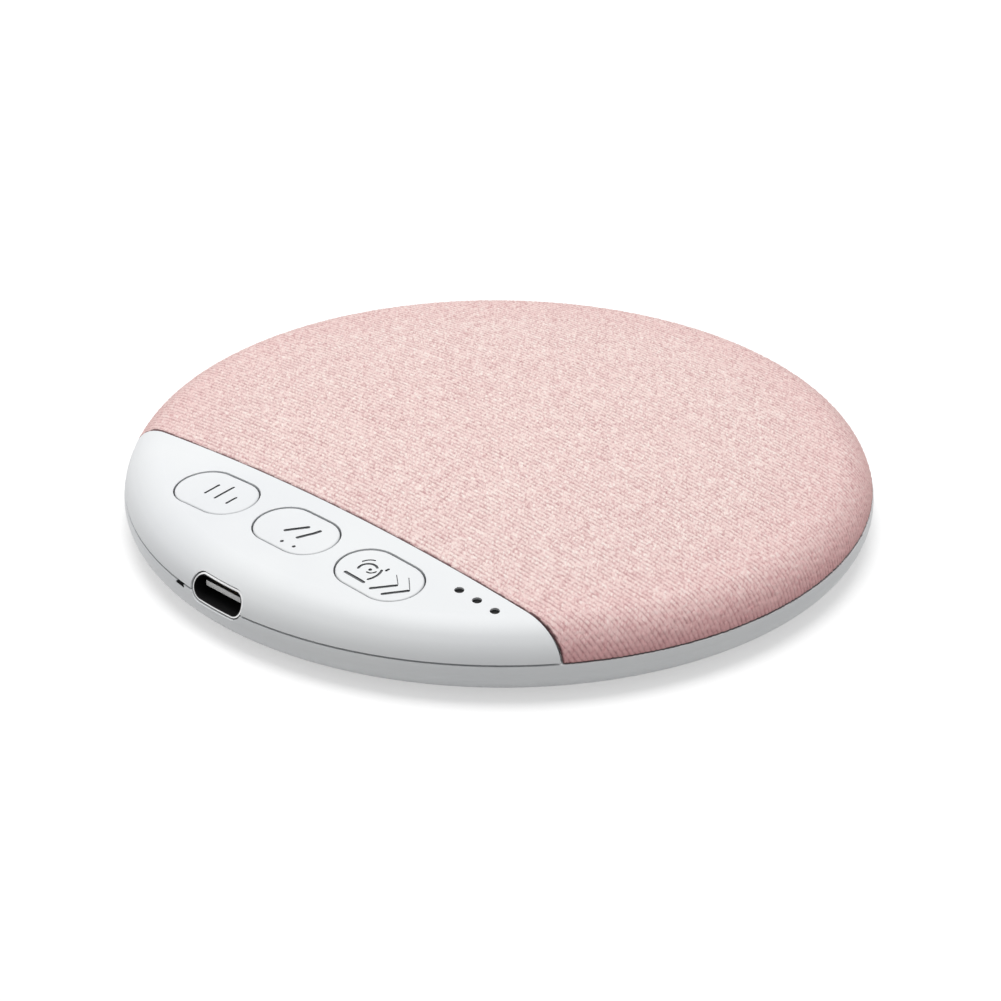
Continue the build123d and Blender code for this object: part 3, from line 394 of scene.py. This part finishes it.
def satin_plastic(name):
    """Moulded plastic with a fine spark-eroded grain, a faint unevenness of tone and painted shade that greys
    it in crevices and joints between parts.
    """
    s = Surface(name)
    tone = s.ramp(s.noise(PLASTIC_TONE_GRAIN, SOFT_DETAIL), PLASTIC_TONES, GENTLE_STOPS)
    # Painted shade: an occlusion test greys the plastic in crevices and gaps between parts
    inputs = {"Distance": CREVICE_REACH}
    open_air = s.add("ShaderNodeAmbientOcclusion", inputs, samples=CREVICE_SAMPLES).outputs["AO"]
    s.shade(Base_Color=s.mix(s.spread(open_air, 0.0, 1.0, *CREVICE_SHADE_SHARES), linear(*PLASTIC_CREVICE_SHADE), tone))
    s.shade(Roughness=s.spread(s.noise(PLASTIC_ROUGH_GRAIN), *PLASTIC_ROUGH))
    s.shade(Specular_IOR_Level=PLASTIC_GLOSS)
    s.relief(s.noise(PLASTIC_SKIN_GRAIN, SOFT_DETAIL), PLASTIC_RELIEF_SHARE, FINE_RELIEF)
    return s.material


def general_finish(name, dark, light, rough, metal=0.0, grain=600.0, bump=0.08, gloss=0.5):
    """Mottled tone and roughness over a slight relief."""
    s = Surface(name)
    mottle = s.noise(grain, RICH_DETAIL)
    s.shade(Base_Color=s.ramp(mottle, (dark, light), GENTLE_STOPS))
    s.shade(Roughness=s.spread(mottle, *rough, *WIDE_STOPS))
    s.shade(Metallic=metal, Specular_IOR_Level=gloss)
    s.relief(s.noise(grain * GRAIN_RATIO, SOFT_DETAIL), bump, COARSE_RELIEF)
    return s.material


def drawn_metal(name, dark, light, rough):
    """Metal with fine lines along X from drawing or turning."""
    s = Surface(name)
    lines = s.noise(vector=s.stretched(*DRAWN_GRAINS))
    s.shade(Base_Color=s.ramp(lines, (dark, light), WIDE_STOPS))
    s.shade(Roughness=s.spread(lines, *rough, *WIDE_STOPS))
    s.shade(Metallic=1.0)
    s.relief(lines, DRAWN_RELIEF_SHARE, FINE_RELIEF)
    return s.material


def board_mask(name):
    """Green solder mask over faint copper tracks."""
    s = Surface(name)
    inputs = {"Vector": s.place(), "Scale": TRACK_GRAIN, "Mortar Size": TRACK_SHARE}
    tracks = s.add("ShaderNodeTexBrick", inputs).outputs["Fac"]
    mask = s.ramp(s.noise(MASK_TONE_GRAIN), MASK_TONES, WIDE_STOPS)
    s.shade(Base_Color=s.mix(tracks, mask, linear(*TRACK_TONE)))
    s.shade(Roughness=s.spread(s.noise(MASK_ROUGH_GRAIN), *MASK_ROUGH))
    s.relief(tracks, TRACK_RELIEF_SHARE, COARSE_RELIEF)
    return s.material


def lamp_plastic(name):
    """Pale clear plastic with a glossy coat."""
    s = Surface(name)
    s.shade(Base_Color=s.ramp(s.noise(LAMP_TONE_GRAIN), LAMP_TONES, WIDE_STOPS))
    s.shade(Roughness=s.spread(s.noise(LAMP_ROUGH_GRAIN), *LAMP_ROUGH))
    s.shade(Coat_Weight=LAMP_COAT_SHARE)
    return s.material


def woven_cloth(name):
    """Heathered pink yarn: stitches of uneven tone along each rib, painted shade in the gaps, a deeper pink
    towards the foot as painted shade, and painted shade along the rolled edges.
    """
    s = Surface(name)
    weave = s.add("ShaderNodeAttribute", attribute_name="weave").outputs["Vector"]
    hem_shade = s.add("ShaderNodeAttribute", attribute_name="hem_shade").outputs["Fac"]
    along, beside, row = s.split(weave)
    stitch = s.math("ROUND", along)
    fleck_inputs = {0: s.point(stitch, row)}
    fleck = s.add("ShaderNodeTexWhiteNoise", fleck_inputs, noise_dimensions="3D").outputs[0]
    twist_row = s.math("MULTIPLY", row, TWIST_STRETCH[2])
    twist_way = s.weighted((along, TWIST_STRETCH[0]), (beside, TWIST_STRETCH[1]))
    twist = s.noise(TWIST_GRAIN, vector=s.point(twist_way, twist_row, beside))

    tone = yarn_tone(s, along, twist_row, twist, fleck)
    tone = speckled(s, tone, along, beside, row)
    # Painted shade: the cloth turns deeper pink towards the foot
    low = s.spread(s.split(s.place())[2], LOW_SHADE_SHARE, 0.0, *LOW_HEIGHTS)
    tone = s.mix(low, tone, linear(*CLOTH_LOW_SHADE))
    gap = stitch_gaps(s, along, beside, twist_row, stitch)
    # Painted shade: the gaps darkened towards a deep rose
    shade = s.mix(s.math("MULTIPLY", gap, GAP_SHADE_SHARE), tone, linear(*CLOTH_GAP_SHADE))
    # Painted shade along the rolled edges, ragged from stitch to stitch
    ragged_hem_shade = s.math("ADD", hem_shade, s.spread(fleck, -HEM_SHADE_RAGGED_SHARE, HEM_SHADE_RAGGED_SHARE))
    s.shade(Base_Color=s.mix(s.spread(ragged_hem_shade, 0.0, HEM_SHADE_SHARE, *HEM_SHADE_STOPS), shade, linear(*CLOTH_HEM_SHADE)))
    s.shade(Roughness=s.spread(twist, *CLOTH_ROUGH))
    s.shade(Sheen_Weight=SHEEN_SHARE, Sheen_Roughness=SHEEN_ROUGH, Specular_IOR_Level=CLOTH_GLOSS)
    s.shade(Sheen_Tint=linear(*CLOTH_SHEEN))
    height = s.math("ADD", s.math("SUBTRACT", 1.0, gap), s.math("MULTIPLY", twist, TWIST_HEIGHT_SHARE))
    s.relief(height, CLOTH_RELIEF_SHARE, CLOTH_RELIEF)
    return s.material


def yarn_tone(s, along, twist_row, twist, fleck):
    """Tone of the yarn from its twist, its slow change along the rib and a fleck for each stitch."""
    yarn_way = s.math("MULTIPLY", along, YARN_STRETCH)
    yarn = s.noise(detail=SOFT_DETAIL, vector=s.point(yarn_way, twist_row))
    fibre = s.weighted(*zip((twist, yarn, fleck), FIBRE_SHARES))
    return s.ramp(fibre, CLOTH_TONES, CLOTH_TONE_SHARES)


def speckled(s, tone, along, beside, row):
    """The tone with dark specks and pale glints of single fibres."""
    way = s.weighted((along, SPECK_STRETCH[0]), (beside, SPECK_STRETCH[1]))
    speck_row = s.math("MULTIPLY", row, SPECK_STRETCH[2])
    speck = s.noise(detail=PLAIN_DETAIL, vector=s.point(way, speck_row, beside))
    tone = s.mix(s.spread(speck, SPECK_SHARE, 0.0, *SPECK_STOPS), tone, linear(*CLOTH_SPECK))
    return s.mix(s.spread(speck, 0.0, GLINT_SHARE, *GLINT_STOPS), tone, linear(*CLOTH_GLINT))


def stitch_gaps(s, along, beside, twist_row, stitch):
    """How deep a place lies in the gaps beside the ribs and between the stitches, in dashes; this sets the
    painted shade in the gaps and the relief.
    """
    dash_way = s.math("MULTIPLY", along, DASH_STRETCH)
    dashes = s.noise(detail=SOFT_DETAIL, vector=s.point(dash_way, twist_row, DASH_LAYER))
    strength = s.spread(dashes, *DASH_SHARES, *DASH_STOPS)
    from_rib = s.math("ABSOLUTE", beside)
    from_centre = s.math("ABSOLUTE", s.math("SUBTRACT", along, stitch))
    beside_gap = s.math("MULTIPLY", s.spread(from_rib, 0.0, 1.0, *SIDE_GAP_SHARES), strength)
    end_gap = s.math("MULTIPLY", s.spread(from_centre, 0.0, END_GAP_SHARE, *END_GAP_SHARES), strength)
    return s.math("MAXIMUM", beside_gap, end_gap)


def painted_light_sleeve(name):
    """Steel, bright along the outer edge of its mouth and near black inside: a painted highlight over the
    bare lip, and painted shade within.
    """
    s = Surface(name)
    x, y, z = s.split(s.place())
    inside = s.math("MAXIMUM", behind_mouth(s, x, y, z), within_lip(s, x, z))
    bright = s.ramp(s.noise(LIP_TONE_GRAIN), LIP_HIGHLIGHT_TONES, GENTLE_STOPS)
    # Painted shade inside, painted highlight on the lip
    s.shade(Base_Color=s.mix(inside, bright, linear(*SLEEVE_SHADE_TONE)))
    s.shade(Metallic=s.spread(inside, *SLEEVE_METAL_SHARES))
    s.shade(Specular_IOR_Level=s.spread(inside, *SLEEVE_GLOSS))
    s.shade(Roughness=s.spread(inside, *SLEEVE_ROUGH))
    s.relief(s.noise(SLEEVE_GRAIN, SOFT_DETAIL), SOCKET_RELIEF_SHARE, FINE_RELIEF)
    return s.material


def behind_mouth(s, x, y, z):
    """From 0 at the rim of the case to 1 behind it."""
    out = s.math("SUBTRACT", s.length(x, y), RIM_CENTRE)
    up = s.math("SUBTRACT", z, EQUATOR_Z)
    deep, shallow = [SHOULDER_RADIUS - depth for depth in reversed(MOUTH_DEPTHS)]
    return s.spread(s.length(out, up), 1.0, 0.0, deep, shallow)


def within_lip(s, x, z):
    """From 0 at the sleeve's round-ended outline to 1 inside its lip."""
    low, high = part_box("usb_shell")
    centre = (low + high) / 2
    round_end = (high.z - low.z) / 2
    straight = (high.x - low.x) / 2 - round_end
    aside = s.math("ABSOLUTE", s.math("SUBTRACT", x, centre.x))
    beyond = s.math("MAXIMUM", s.math("SUBTRACT", aside, straight))
    rise = s.math("SUBTRACT", z, centre.z)
    depth = s.math("SUBTRACT", round_end, s.length(beyond, rise))
    return s.spread(depth, 0.0, 1.0, *LIP_WIDTHS)


def tongue_plastic(name):
    """Black plastic with a pale front edge, made near white as a painted highlight against the shade inside
    the socket.
    """
    s = Surface(name)
    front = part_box("usb_tongue")[0].y
    tip = s.spread(s.split(s.place())[1], 1.0, 0.0, front + TONGUE_TIP / 2, front + TONGUE_TIP)
    grain = s.noise(TONGUE_GRAIN, SOFT_DETAIL)
    dark = s.ramp(grain, TONGUE_TONES, GENTLE_STOPS)
    # Painted highlight on the front edge
    s.shade(Base_Color=s.mix(tip, dark, linear(*TONGUE_TIP_HIGHLIGHT_TONE)))
    s.shade(Roughness=s.spread(grain, *TONGUE_ROUGH))
    s.relief(grain, SOCKET_RELIEF_SHARE, FINE_RELIEF)
    return s.material


def all_materials():
    """One material for each of the record's slots, for the socket's own finishes and for the signs' paint."""
    makers = {
        "white_plastic": satin_plastic,
        "pink_cloth": woven_cloth,
        "painted_light_sleeve": painted_light_sleeve,
        "tongue_plastic": tongue_plastic,
        "board": board_mask,
        "lamp": lamp_plastic,
    }
    materials = {name: make(name) for name, make in makers.items()}
    for name, (dark, light, rough, extra) in FINISHES.items():
        materials[name] = general_finish(name, dark, light, rough, **extra)
    for name, (dark, light, rough) in DRAWN_METALS.items():
        materials[name] = drawn_metal(name, dark, light, rough)
    return materials


# Cloth

def outline():
    """Columns along the surface from the crown: distance, radius, height, and the normal's two parts."""
    dome_end = DOME_RADIUS * (math.pi / 2 - DOME_ANGLE)
    foot_sine = (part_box("fabric_cover")[0].z - FOOT_DROP - EQUATOR_Z) / SHOULDER_RADIUS
    length = dome_end + SHOULDER_RADIUS * (DOME_ANGLE - math.asin(foot_sine))
    way = np.linspace(0, length, PROFILE_STEPS)
    on_dome = way <= dome_end
    turn = np.where(on_dome, math.pi / 2 - way / DOME_RADIUS, DOME_ANGLE - (way - dome_end) / SHOULDER_RADIUS)
    bend = np.where(on_dome, DOME_RADIUS, SHOULDER_RADIUS)
    radius = np.where(on_dome, 0, RIM_CENTRE) + bend * np.cos(turn)
    height = np.where(on_dome, DOME_CENTRE_Z, EQUATOR_Z) + bend * np.sin(turn)
    return way, radius, height, np.cos(turn), np.sin(turn)


def laid_out(table, u, v):
    """Points and normals of the outer form for places u, v on the flat cloth, and how far these reach."""
    way, radius, height, normal_out, normal_up = table
    reach = np.maximum(np.hypot(u, v), LEAST_REACH)
    r = np.interp(reach, way, radius)
    out = np.interp(reach, way, normal_out)
    points = np.stack([u / reach * r, v / reach * r, np.interp(reach, way, height)], -1)
    normals = np.stack([u / reach * out, v / reach * out, np.interp(reach, way, normal_up)], -1)
    return points, normals, reach


def behind_edge(points):
    """How far points lie behind the cloth's sloping front edge."""
    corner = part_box("fabric_cover")[0]
    return points[..., 1] - corner.y - math.tan(EDGE_TILT) * (points[..., 2] - corner.z)


def pulled_in(table, u, v):
    """The cloth laid out, with the places beyond its outline brought onto it."""
    for _ in range(CLOTH_SNAPS):
        over = np.maximum(np.hypot(u, v) / table[0][-1], 1)
        u = u / over
        v = v / over
        points, _, _ = laid_out(table, u, v)
        v = v + np.maximum(-behind_edge(points), 0)
    return laid_out(table, u, v)


def stitch_counter(rows):
    """A function that counts stitches along a rib, from the rib's number and the place along it."""
    rng = np.random.default_rng(CLOTH_SEED)
    count = 2 * rows + 3
    shift = 0.5 * (np.arange(count) % 2) + rng.uniform(-SHIFT_SHARE, SHIFT_SHARE, count)
    length = rng.uniform(*WANDER_LENGTHS, count)
    phase = rng.uniform(0, 2 * math.pi, count)

    def counted(row, u):
        k = row + rows + 1
        return u / STITCH_LENGTH + shift[k] + WANDER_SHARE * np.sin(2 * math.pi * u / length[k] + phase[k])

    return counted


def weave_heights(counted, i, j):
    """Height of the weave at each grid point: stitches along the ribs, and uneven gaps between them."""
    from_centre = np.abs((counted(j // 2, i * STITCH_STEP) + 0.5) % 1 - 0.5) * 2
    rng = np.random.default_rng(CLOTH_SEED)
    gap_height = rng.uniform(*RIB_GAP_SHARES, i.shape)
    stitch_height = 1 - (1 - STITCH_END_SHARE) * from_centre**STITCH_POWER
    height = np.where(j % 2 == 0, stitch_height, gap_height)
    return np.clip(height + rng.normal(0, HEIGHT_VARIATION_SHARE, i.shape), *HEIGHT_LIMIT_SHARES)


def rolled(distance, roll):
    """How far the cloth falls away towards an edge that it rolls over."""
    short = np.minimum(np.maximum(distance, 0), roll)
    return roll - np.sqrt(roll**2 - (roll - short) ** 2)


def cloth_faces(i, j, inside, counted):
    """The grid's squares that touch the cloth, with the stitch, side place and rib of each corner."""
    kept = inside[:-1, :-1] | inside[1:, :-1] | inside[:-1, 1:] | inside[1:, 1:]
    rib = ((j[:-1, :-1] + 1) // 2)[kept]
    index = np.arange(i.size).reshape(i.shape)
    columns, rows = kept.shape
    faces = []
    stitches = []
    for a, b in SQUARE_CORNERS:
        block = (slice(a, a + columns), slice(b, b + rows))
        faces.append(index[block][kept])
        stitch = counted(rib, i[block][kept] * STITCH_STEP)
        stitches.append(np.stack([stitch, j[block][kept] / 2 - rib, rib], -1))
    return np.stack(faces, -1), np.stack(stitches, 1)


def cloth_mesh():
    """The stretched cloth: a fine grid over the dome, rolled in along its edges and tucked away."""
    table = outline()
    reach_end = table[0][-1]
    columns = int(reach_end / STITCH_STEP) + 2
    rows = int(reach_end / RIB_PITCH) + 1
    i, j = np.meshgrid(np.arange(-columns, columns + 1), np.arange(-2 * rows, 2 * rows + 1), indexing="ij")
    u = i * STITCH_STEP
    v = j * RIB_PITCH / 2
    points, _, reach = laid_out(table, u, v)
    inside = (reach < reach_end) & (behind_edge(points) > 0)
    points, normals, reach = pulled_in(table, u, v)

    counted = stitch_counter(rows)
    to_foot = np.maximum(reach_end - reach, 0)
    to_edge = np.maximum(behind_edge(points), 0)
    sink = np.maximum(rolled(to_foot, FOOT_ROLL), rolled(to_edge, EDGE_ROLL))
    sink = sink + WEAVE_DEPTH / 2 * (1 - weave_heights(counted, i, j))
    points = points - normals * sink[..., None]
    inward = np.where((to_foot < to_edge)[..., None], normals * (1, 1, 0), normals)
    # Painted shade: 1 at the rolled edges, falling to 0 inward
    hem_shade = 1 - np.minimum(np.minimum(to_foot / FOOT_ROLL, to_edge / HEM_SHADE_WIDTH), 1)

    faces, stitches = cloth_faces(i, j, inside, counted)
    used, faces = np.unique(faces, return_inverse=True)
    points = points.reshape(-1, 3)[used]
    inward = inward.reshape(-1, 3)[used]
    points, faces, hem_shade = tucked(points, inward, hem_shade.ravel()[used], faces.reshape(-1, 4))
    weave = np.zeros((len(faces), 4, 3))
    weave[:len(stitches)] = stitches
    return points, faces, hem_shade, weave


def tucked(points, inward, hem_shade, faces):
    """Rows of faces added along the open edge, going in behind it."""
    edges = np.concatenate([faces[:, [k, (k + 1) % 4]] for k in range(4)])
    _, first, uses = np.unique(np.sort(edges, axis=1), axis=0, return_index=True, return_counts=True)
    rim = edges[first[uses == 1]]
    verts = np.unique(rim)
    place = np.zeros(len(points), int)
    place[verts] = np.arange(len(verts))
    all_points = [points]
    all_faces = [faces]
    before = rim
    size = len(points)
    for depth in CLOTH_TUCKS:
        all_points.append(points[verts] - inward[verts] * depth)
        after = size + place[rim]
        all_faces.append(np.stack([before[:, 1], before[:, 0], after[:, 0], after[:, 1]], -1))
        before = after
        size += len(verts)
    # The tucked rows take the full painted shade
    hem_shade = np.concatenate([hem_shade, np.ones(size - len(points))])
    return np.concatenate(all_points), np.concatenate(all_faces), hem_shade


def add_cloth(material):
    """The cloth as one sheet, in place of its plain solid."""
    points, faces, hem_shade, weave = cloth_mesh()
    mesh = bpy.data.meshes.new("cloth")
    mesh.from_pydata(points.tolist(), [], faces.tolist())
    stitches = mesh.attributes.new("weave", "FLOAT_VECTOR", "CORNER")
    stitches.data.foreach_set("vector", weave.astype(np.float32).ravel())
    # The painted shade along the rolled edges, for the cloth's material
    edge = mesh.attributes.new("hem_shade", "FLOAT", "POINT")
    edge.data.foreach_set("value", hem_shade.astype(np.float32))
    mesh.polygons.foreach_set("use_smooth", np.ones(len(faces), bool))
    mesh.materials.append(material)
    mesh.validate()
    cloth = add_object("woven_cover", mesh)
    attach(cloth, "case")
    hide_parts("fabric_cover")


# Buttons with their signs

def dome_z(x, y):
    """Height of the domed top at a place."""
    return DOME_CENTRE_Z + math.sqrt(DOME_RADIUS**2 - x**2 - y**2)


def ring_points(x, y, radius, start, end):
    """Points along an arc."""
    turns = [math.radians(start + (end - start) * k / RING_STEPS) for k in range(RING_STEPS + 1)]
    return [(x + radius * math.cos(t), y + radius * math.sin(t)) for t in turns]


def sections(points, width):
    """Points along a stroke with its half width, rounded at both ends."""
    points = np.array(points, float) * MM
    steps = np.hypot(*np.diff(points, axis=0).T)
    way = np.concatenate([[0], np.cumsum(steps)])
    half = width * MM / 2
    end = way[-1]
    cap = half * (1 - np.cos(np.linspace(SIGN_TIP_SHARE, 1, SIGN_TIP_STEPS) * math.pi / 2))
    middle = np.linspace(half, end - half, max(2, int((end - 2 * half) / SIGN_STEP) + 1))
    bends = way[(way > half) & (way < end - half)]
    at = np.unique(np.concatenate([cap, middle, bends, end - cap]).round(SECTION_DIGITS))
    x = np.interp(at, way, points[:, 0])
    y = np.interp(at, way, points[:, 1])
    along = np.stack([np.gradient(x, at), np.gradient(y, at)], -1)
    along /= np.linalg.norm(along, axis=1)[:, None]
    near = half - np.minimum(np.minimum(at, end - at), half)
    return x, y, along, np.sqrt(np.maximum(half**2 - near**2, 0))


def groove_mesh(strokes, centre):
    """Closed bars along the strokes, reaching from above the button's top to the bottom of the groove."""
    verts = []
    faces = []
    for width, points in strokes:
        x, y, along, half = sections(points, width)
        first = len(verts)
        for k in range(len(x)):
            for side, lift in ((1, SIGN_RISE), (-1, SIGN_RISE), (-1, -SIGN_DEPTH), (1, -SIGN_DEPTH)):
                px = centre.x + x[k] - side * half[k] * along[k, 1]
                py = centre.y + y[k] + side * half[k] * along[k, 0]
                verts.append((px, py, dome_z(px, py) + lift))
        for k in range(len(x) - 1):
            a = first + 4 * k
            for n in range(4):
                faces.append((a + n, a + (n + 1) % 4, a + 4 + (n + 1) % 4, a + 4 + n))
        last = first + 4 * (len(x) - 1)
        faces.append((first + 3, first + 2, first + 1, first))
        faces.append((last, last + 1, last + 2, last + 3))
    return verts, faces


def welded_copy(node, name):
    """A copy of a node's mesh with its split corners joined."""
    source = NODES[node].data
    points = np.array([v.co for v in source.vertices])
    keys, inverse = np.unique(points.round(WELD_DIGITS), axis=0, return_inverse=True)
    inverse = inverse.ravel()
    faces = [tuple(dict.fromkeys(int(inverse[v]) for v in p.vertices)) for p in source.polygons]
    mesh = bpy.data.meshes.new(name)
    mesh.from_pydata(keys.tolist(), [], [f for f in faces if len(f) > 2])
    mesh.validate()
    return mesh


def cut_away(blank, tool):
    """The blank's mesh with the tool's form taken out. The cut faces keep the tool's material."""
    cut = blank.modifiers.new("sign", "BOOLEAN")
    cut.operation = "DIFFERENCE"
    cut.solver = "EXACT"
    cut.material_mode = "TRANSFER"
    cut.use_self = True
    cut.object = tool
    bpy.context.view_layer.update()
    depsgraph = bpy.context.evaluated_depsgraph_get()
    shape = bpy.data.meshes.new_from_object(blank.evaluated_get(depsgraph))
    bpy.data.objects.remove(blank)
    bpy.data.objects.remove(tool)
    shape.polygons.foreach_set("use_smooth", np.ones(len(shape.polygons), bool))
    shape.set_sharp_from_angle(angle=SMOOTH_ANGLE)
    return shape


def add_button(side, strokes, plastic, paint):
    """The button's solid with its sign cut in and the cuts painted."""
    low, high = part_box(f"{side}_button")
    blank_mesh = welded_copy(f"{side}_button", f"{side}_button_blank")
    blank_mesh.materials.append(plastic)
    verts, faces = groove_mesh(strokes, (low + high) / 2)
    tool_mesh = bpy.data.meshes.new(f"{side}_groove")
    tool_mesh.from_pydata(verts, [], faces)
    tool_mesh.materials.append(paint)
    blank = add_object(f"{side}_button_blank", blank_mesh)
    tool = add_object(f"{side}_groove", tool_mesh)
    button = add_object(f"{side}_button_with_sign", cut_away(blank, tool))
    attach(button, f"{side}_button")
    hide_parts(f"{side}_button")


# Finish of the solids, stage and camera

def dress_nodes(materials):
    """Each solid in the material of its slot, or in its own finish."""
    for part in frame["record"]["subparts"]:
        mesh = NODES[part["node"]].data
        mesh.materials.clear()
        mesh.materials.append(materials[OWN_FINISHES.get(part["node"], part["material_slot"])])


def seen_rays(tree):
    """1 for rays from the camera, a reflection or a clear piece, and 0 for the light that falls on things."""
    path = tree.nodes.new("ShaderNodeLightPath")
    seen = path.outputs["Is Camera Ray"]
    for ray in ("Is Glossy Ray", "Is Transmission Ray"):
        either = tree.nodes.new("ShaderNodeMath")
        either.operation = "MAXIMUM"
        tree.links.new(seen, either.inputs[0])
        tree.links.new(path.outputs[ray], either.inputs[1])
        seen = either.outputs[0]
    return seen


def floor_surface():
    """White, brighter to the eye than to the object, and clear from below."""
    s = Surface("floor")
    s.shade(Base_Color=linear(*FLOOR_TONE), Roughness=FLOOR_ROUGH, Specular_IOR_Level=FLOOR_GLOSS)
    strength = s.math("MULTIPLY", seen_rays(s.tree), FLOOR_GLOW_SHARE)
    glow = s.add("ShaderNodeEmission", {"Strength": strength})
    lit = s.add("ShaderNodeAddShader", {0: s.shader.outputs[0], 1: glow.outputs[0]})
    clear = s.add("ShaderNodeBsdfTransparent")
    below = s.add("ShaderNodeNewGeometry").outputs["Backfacing"]
    both = s.add("ShaderNodeMixShader", {0: below, 1: lit.outputs[0], 2: clear.outputs[0]})
    s.feed(s.output.inputs[0], both.outputs[0])
    return s.material


def add_floor():
    """A wide floor that holds the shadow."""
    half = FLOOR_HALF
    corners = [(-half, -half, 0), (half, -half, 0), (half, half, 0), (-half, half, 0)]
    mesh = bpy.data.meshes.new("floor")
    mesh.from_pydata(corners, [], [(0, 1, 2, 3)])
    mesh.materials.append(floor_surface())
    floor = add_object("floor", mesh)
    floor.location.z = -FLOOR_DROP


def add_sky():
    """Even light from all round, white where the camera, a reflection or clear plastic sees it."""
    world = bpy.data.worlds.new("sky")
    world.use_nodes = True
    bpy.context.scene.world = world
    tree = world.node_tree
    level = tree.nodes.new("ShaderNodeMapRange")
    level.inputs["To Min"].default_value = SKY_SHARE
    tree.links.new(seen_rays(tree), level.inputs["Value"])
    back = tree.nodes["Background"]
    back.inputs["Color"].default_value = (1, 1, 1, 1)
    tree.links.new(level.outputs[0], back.inputs["Strength"])


def add_lamp(name, place, size, power):
    """A round soft lamp that faces the object."""
    lamp = bpy.data.lights.new(name, "AREA")
    lamp.shape = "DISK"
    lamp.size = size
    lamp.energy = power
    thing = add_object(name, lamp)
    thing.location = place
    thing.rotation_mode = "QUATERNION"
    thing.rotation_quaternion = (-place).to_track_quat("-Z", "Y")


def add_camera():
    """The photograph's view."""
    flat = math.cos(CAMERA_ELEVATION)
    side = math.sin(CAMERA_AZIMUTH) * flat
    front = -math.cos(CAMERA_AZIMUTH) * flat
    back = Vector((side, front, math.sin(CAMERA_ELEVATION)))
    data = bpy.data.cameras.new("camera")
    data.lens = CAMERA_LENS
    data.sensor_width = CAMERA_SENSOR
    data.clip_start = CAMERA_NEAR
    camera = add_object("camera", data)
    camera.location = CAMERA_TARGET + back * CAMERA_DISTANCE
    camera.rotation_mode = "QUATERNION"
    camera.rotation_quaternion = (-back).to_track_quat("-Z", "Y") @ Quaternion((0, 0, 1), CAMERA_ROLL)
    bpy.context.scene.camera = camera


def main():
    """The whole scene, round the solids."""
    bpy.context.scene.view_settings.view_transform = "Standard"
    materials = all_materials()
    dress_nodes(materials)
    add_cloth(materials["pink_cloth"])
    timer = TIMER_SIGN + [(width, ring_points(*arc)) for width, *arc in TIMER_RINGS]
    for side, strokes in (("left", BAR_SIGN), ("middle", RAIN_SIGN), ("right", timer)):
        add_button(side, strokes, materials["white_plastic"], materials["sign_paint"])
    add_floor()
    add_sky()
    add_lamp("key", KEY_PLACE, KEY_SIZE, KEY_POWER)
    add_lamp("fill", FILL_PLACE, FILL_SIZE, FILL_POWER)
    add_camera()


main()
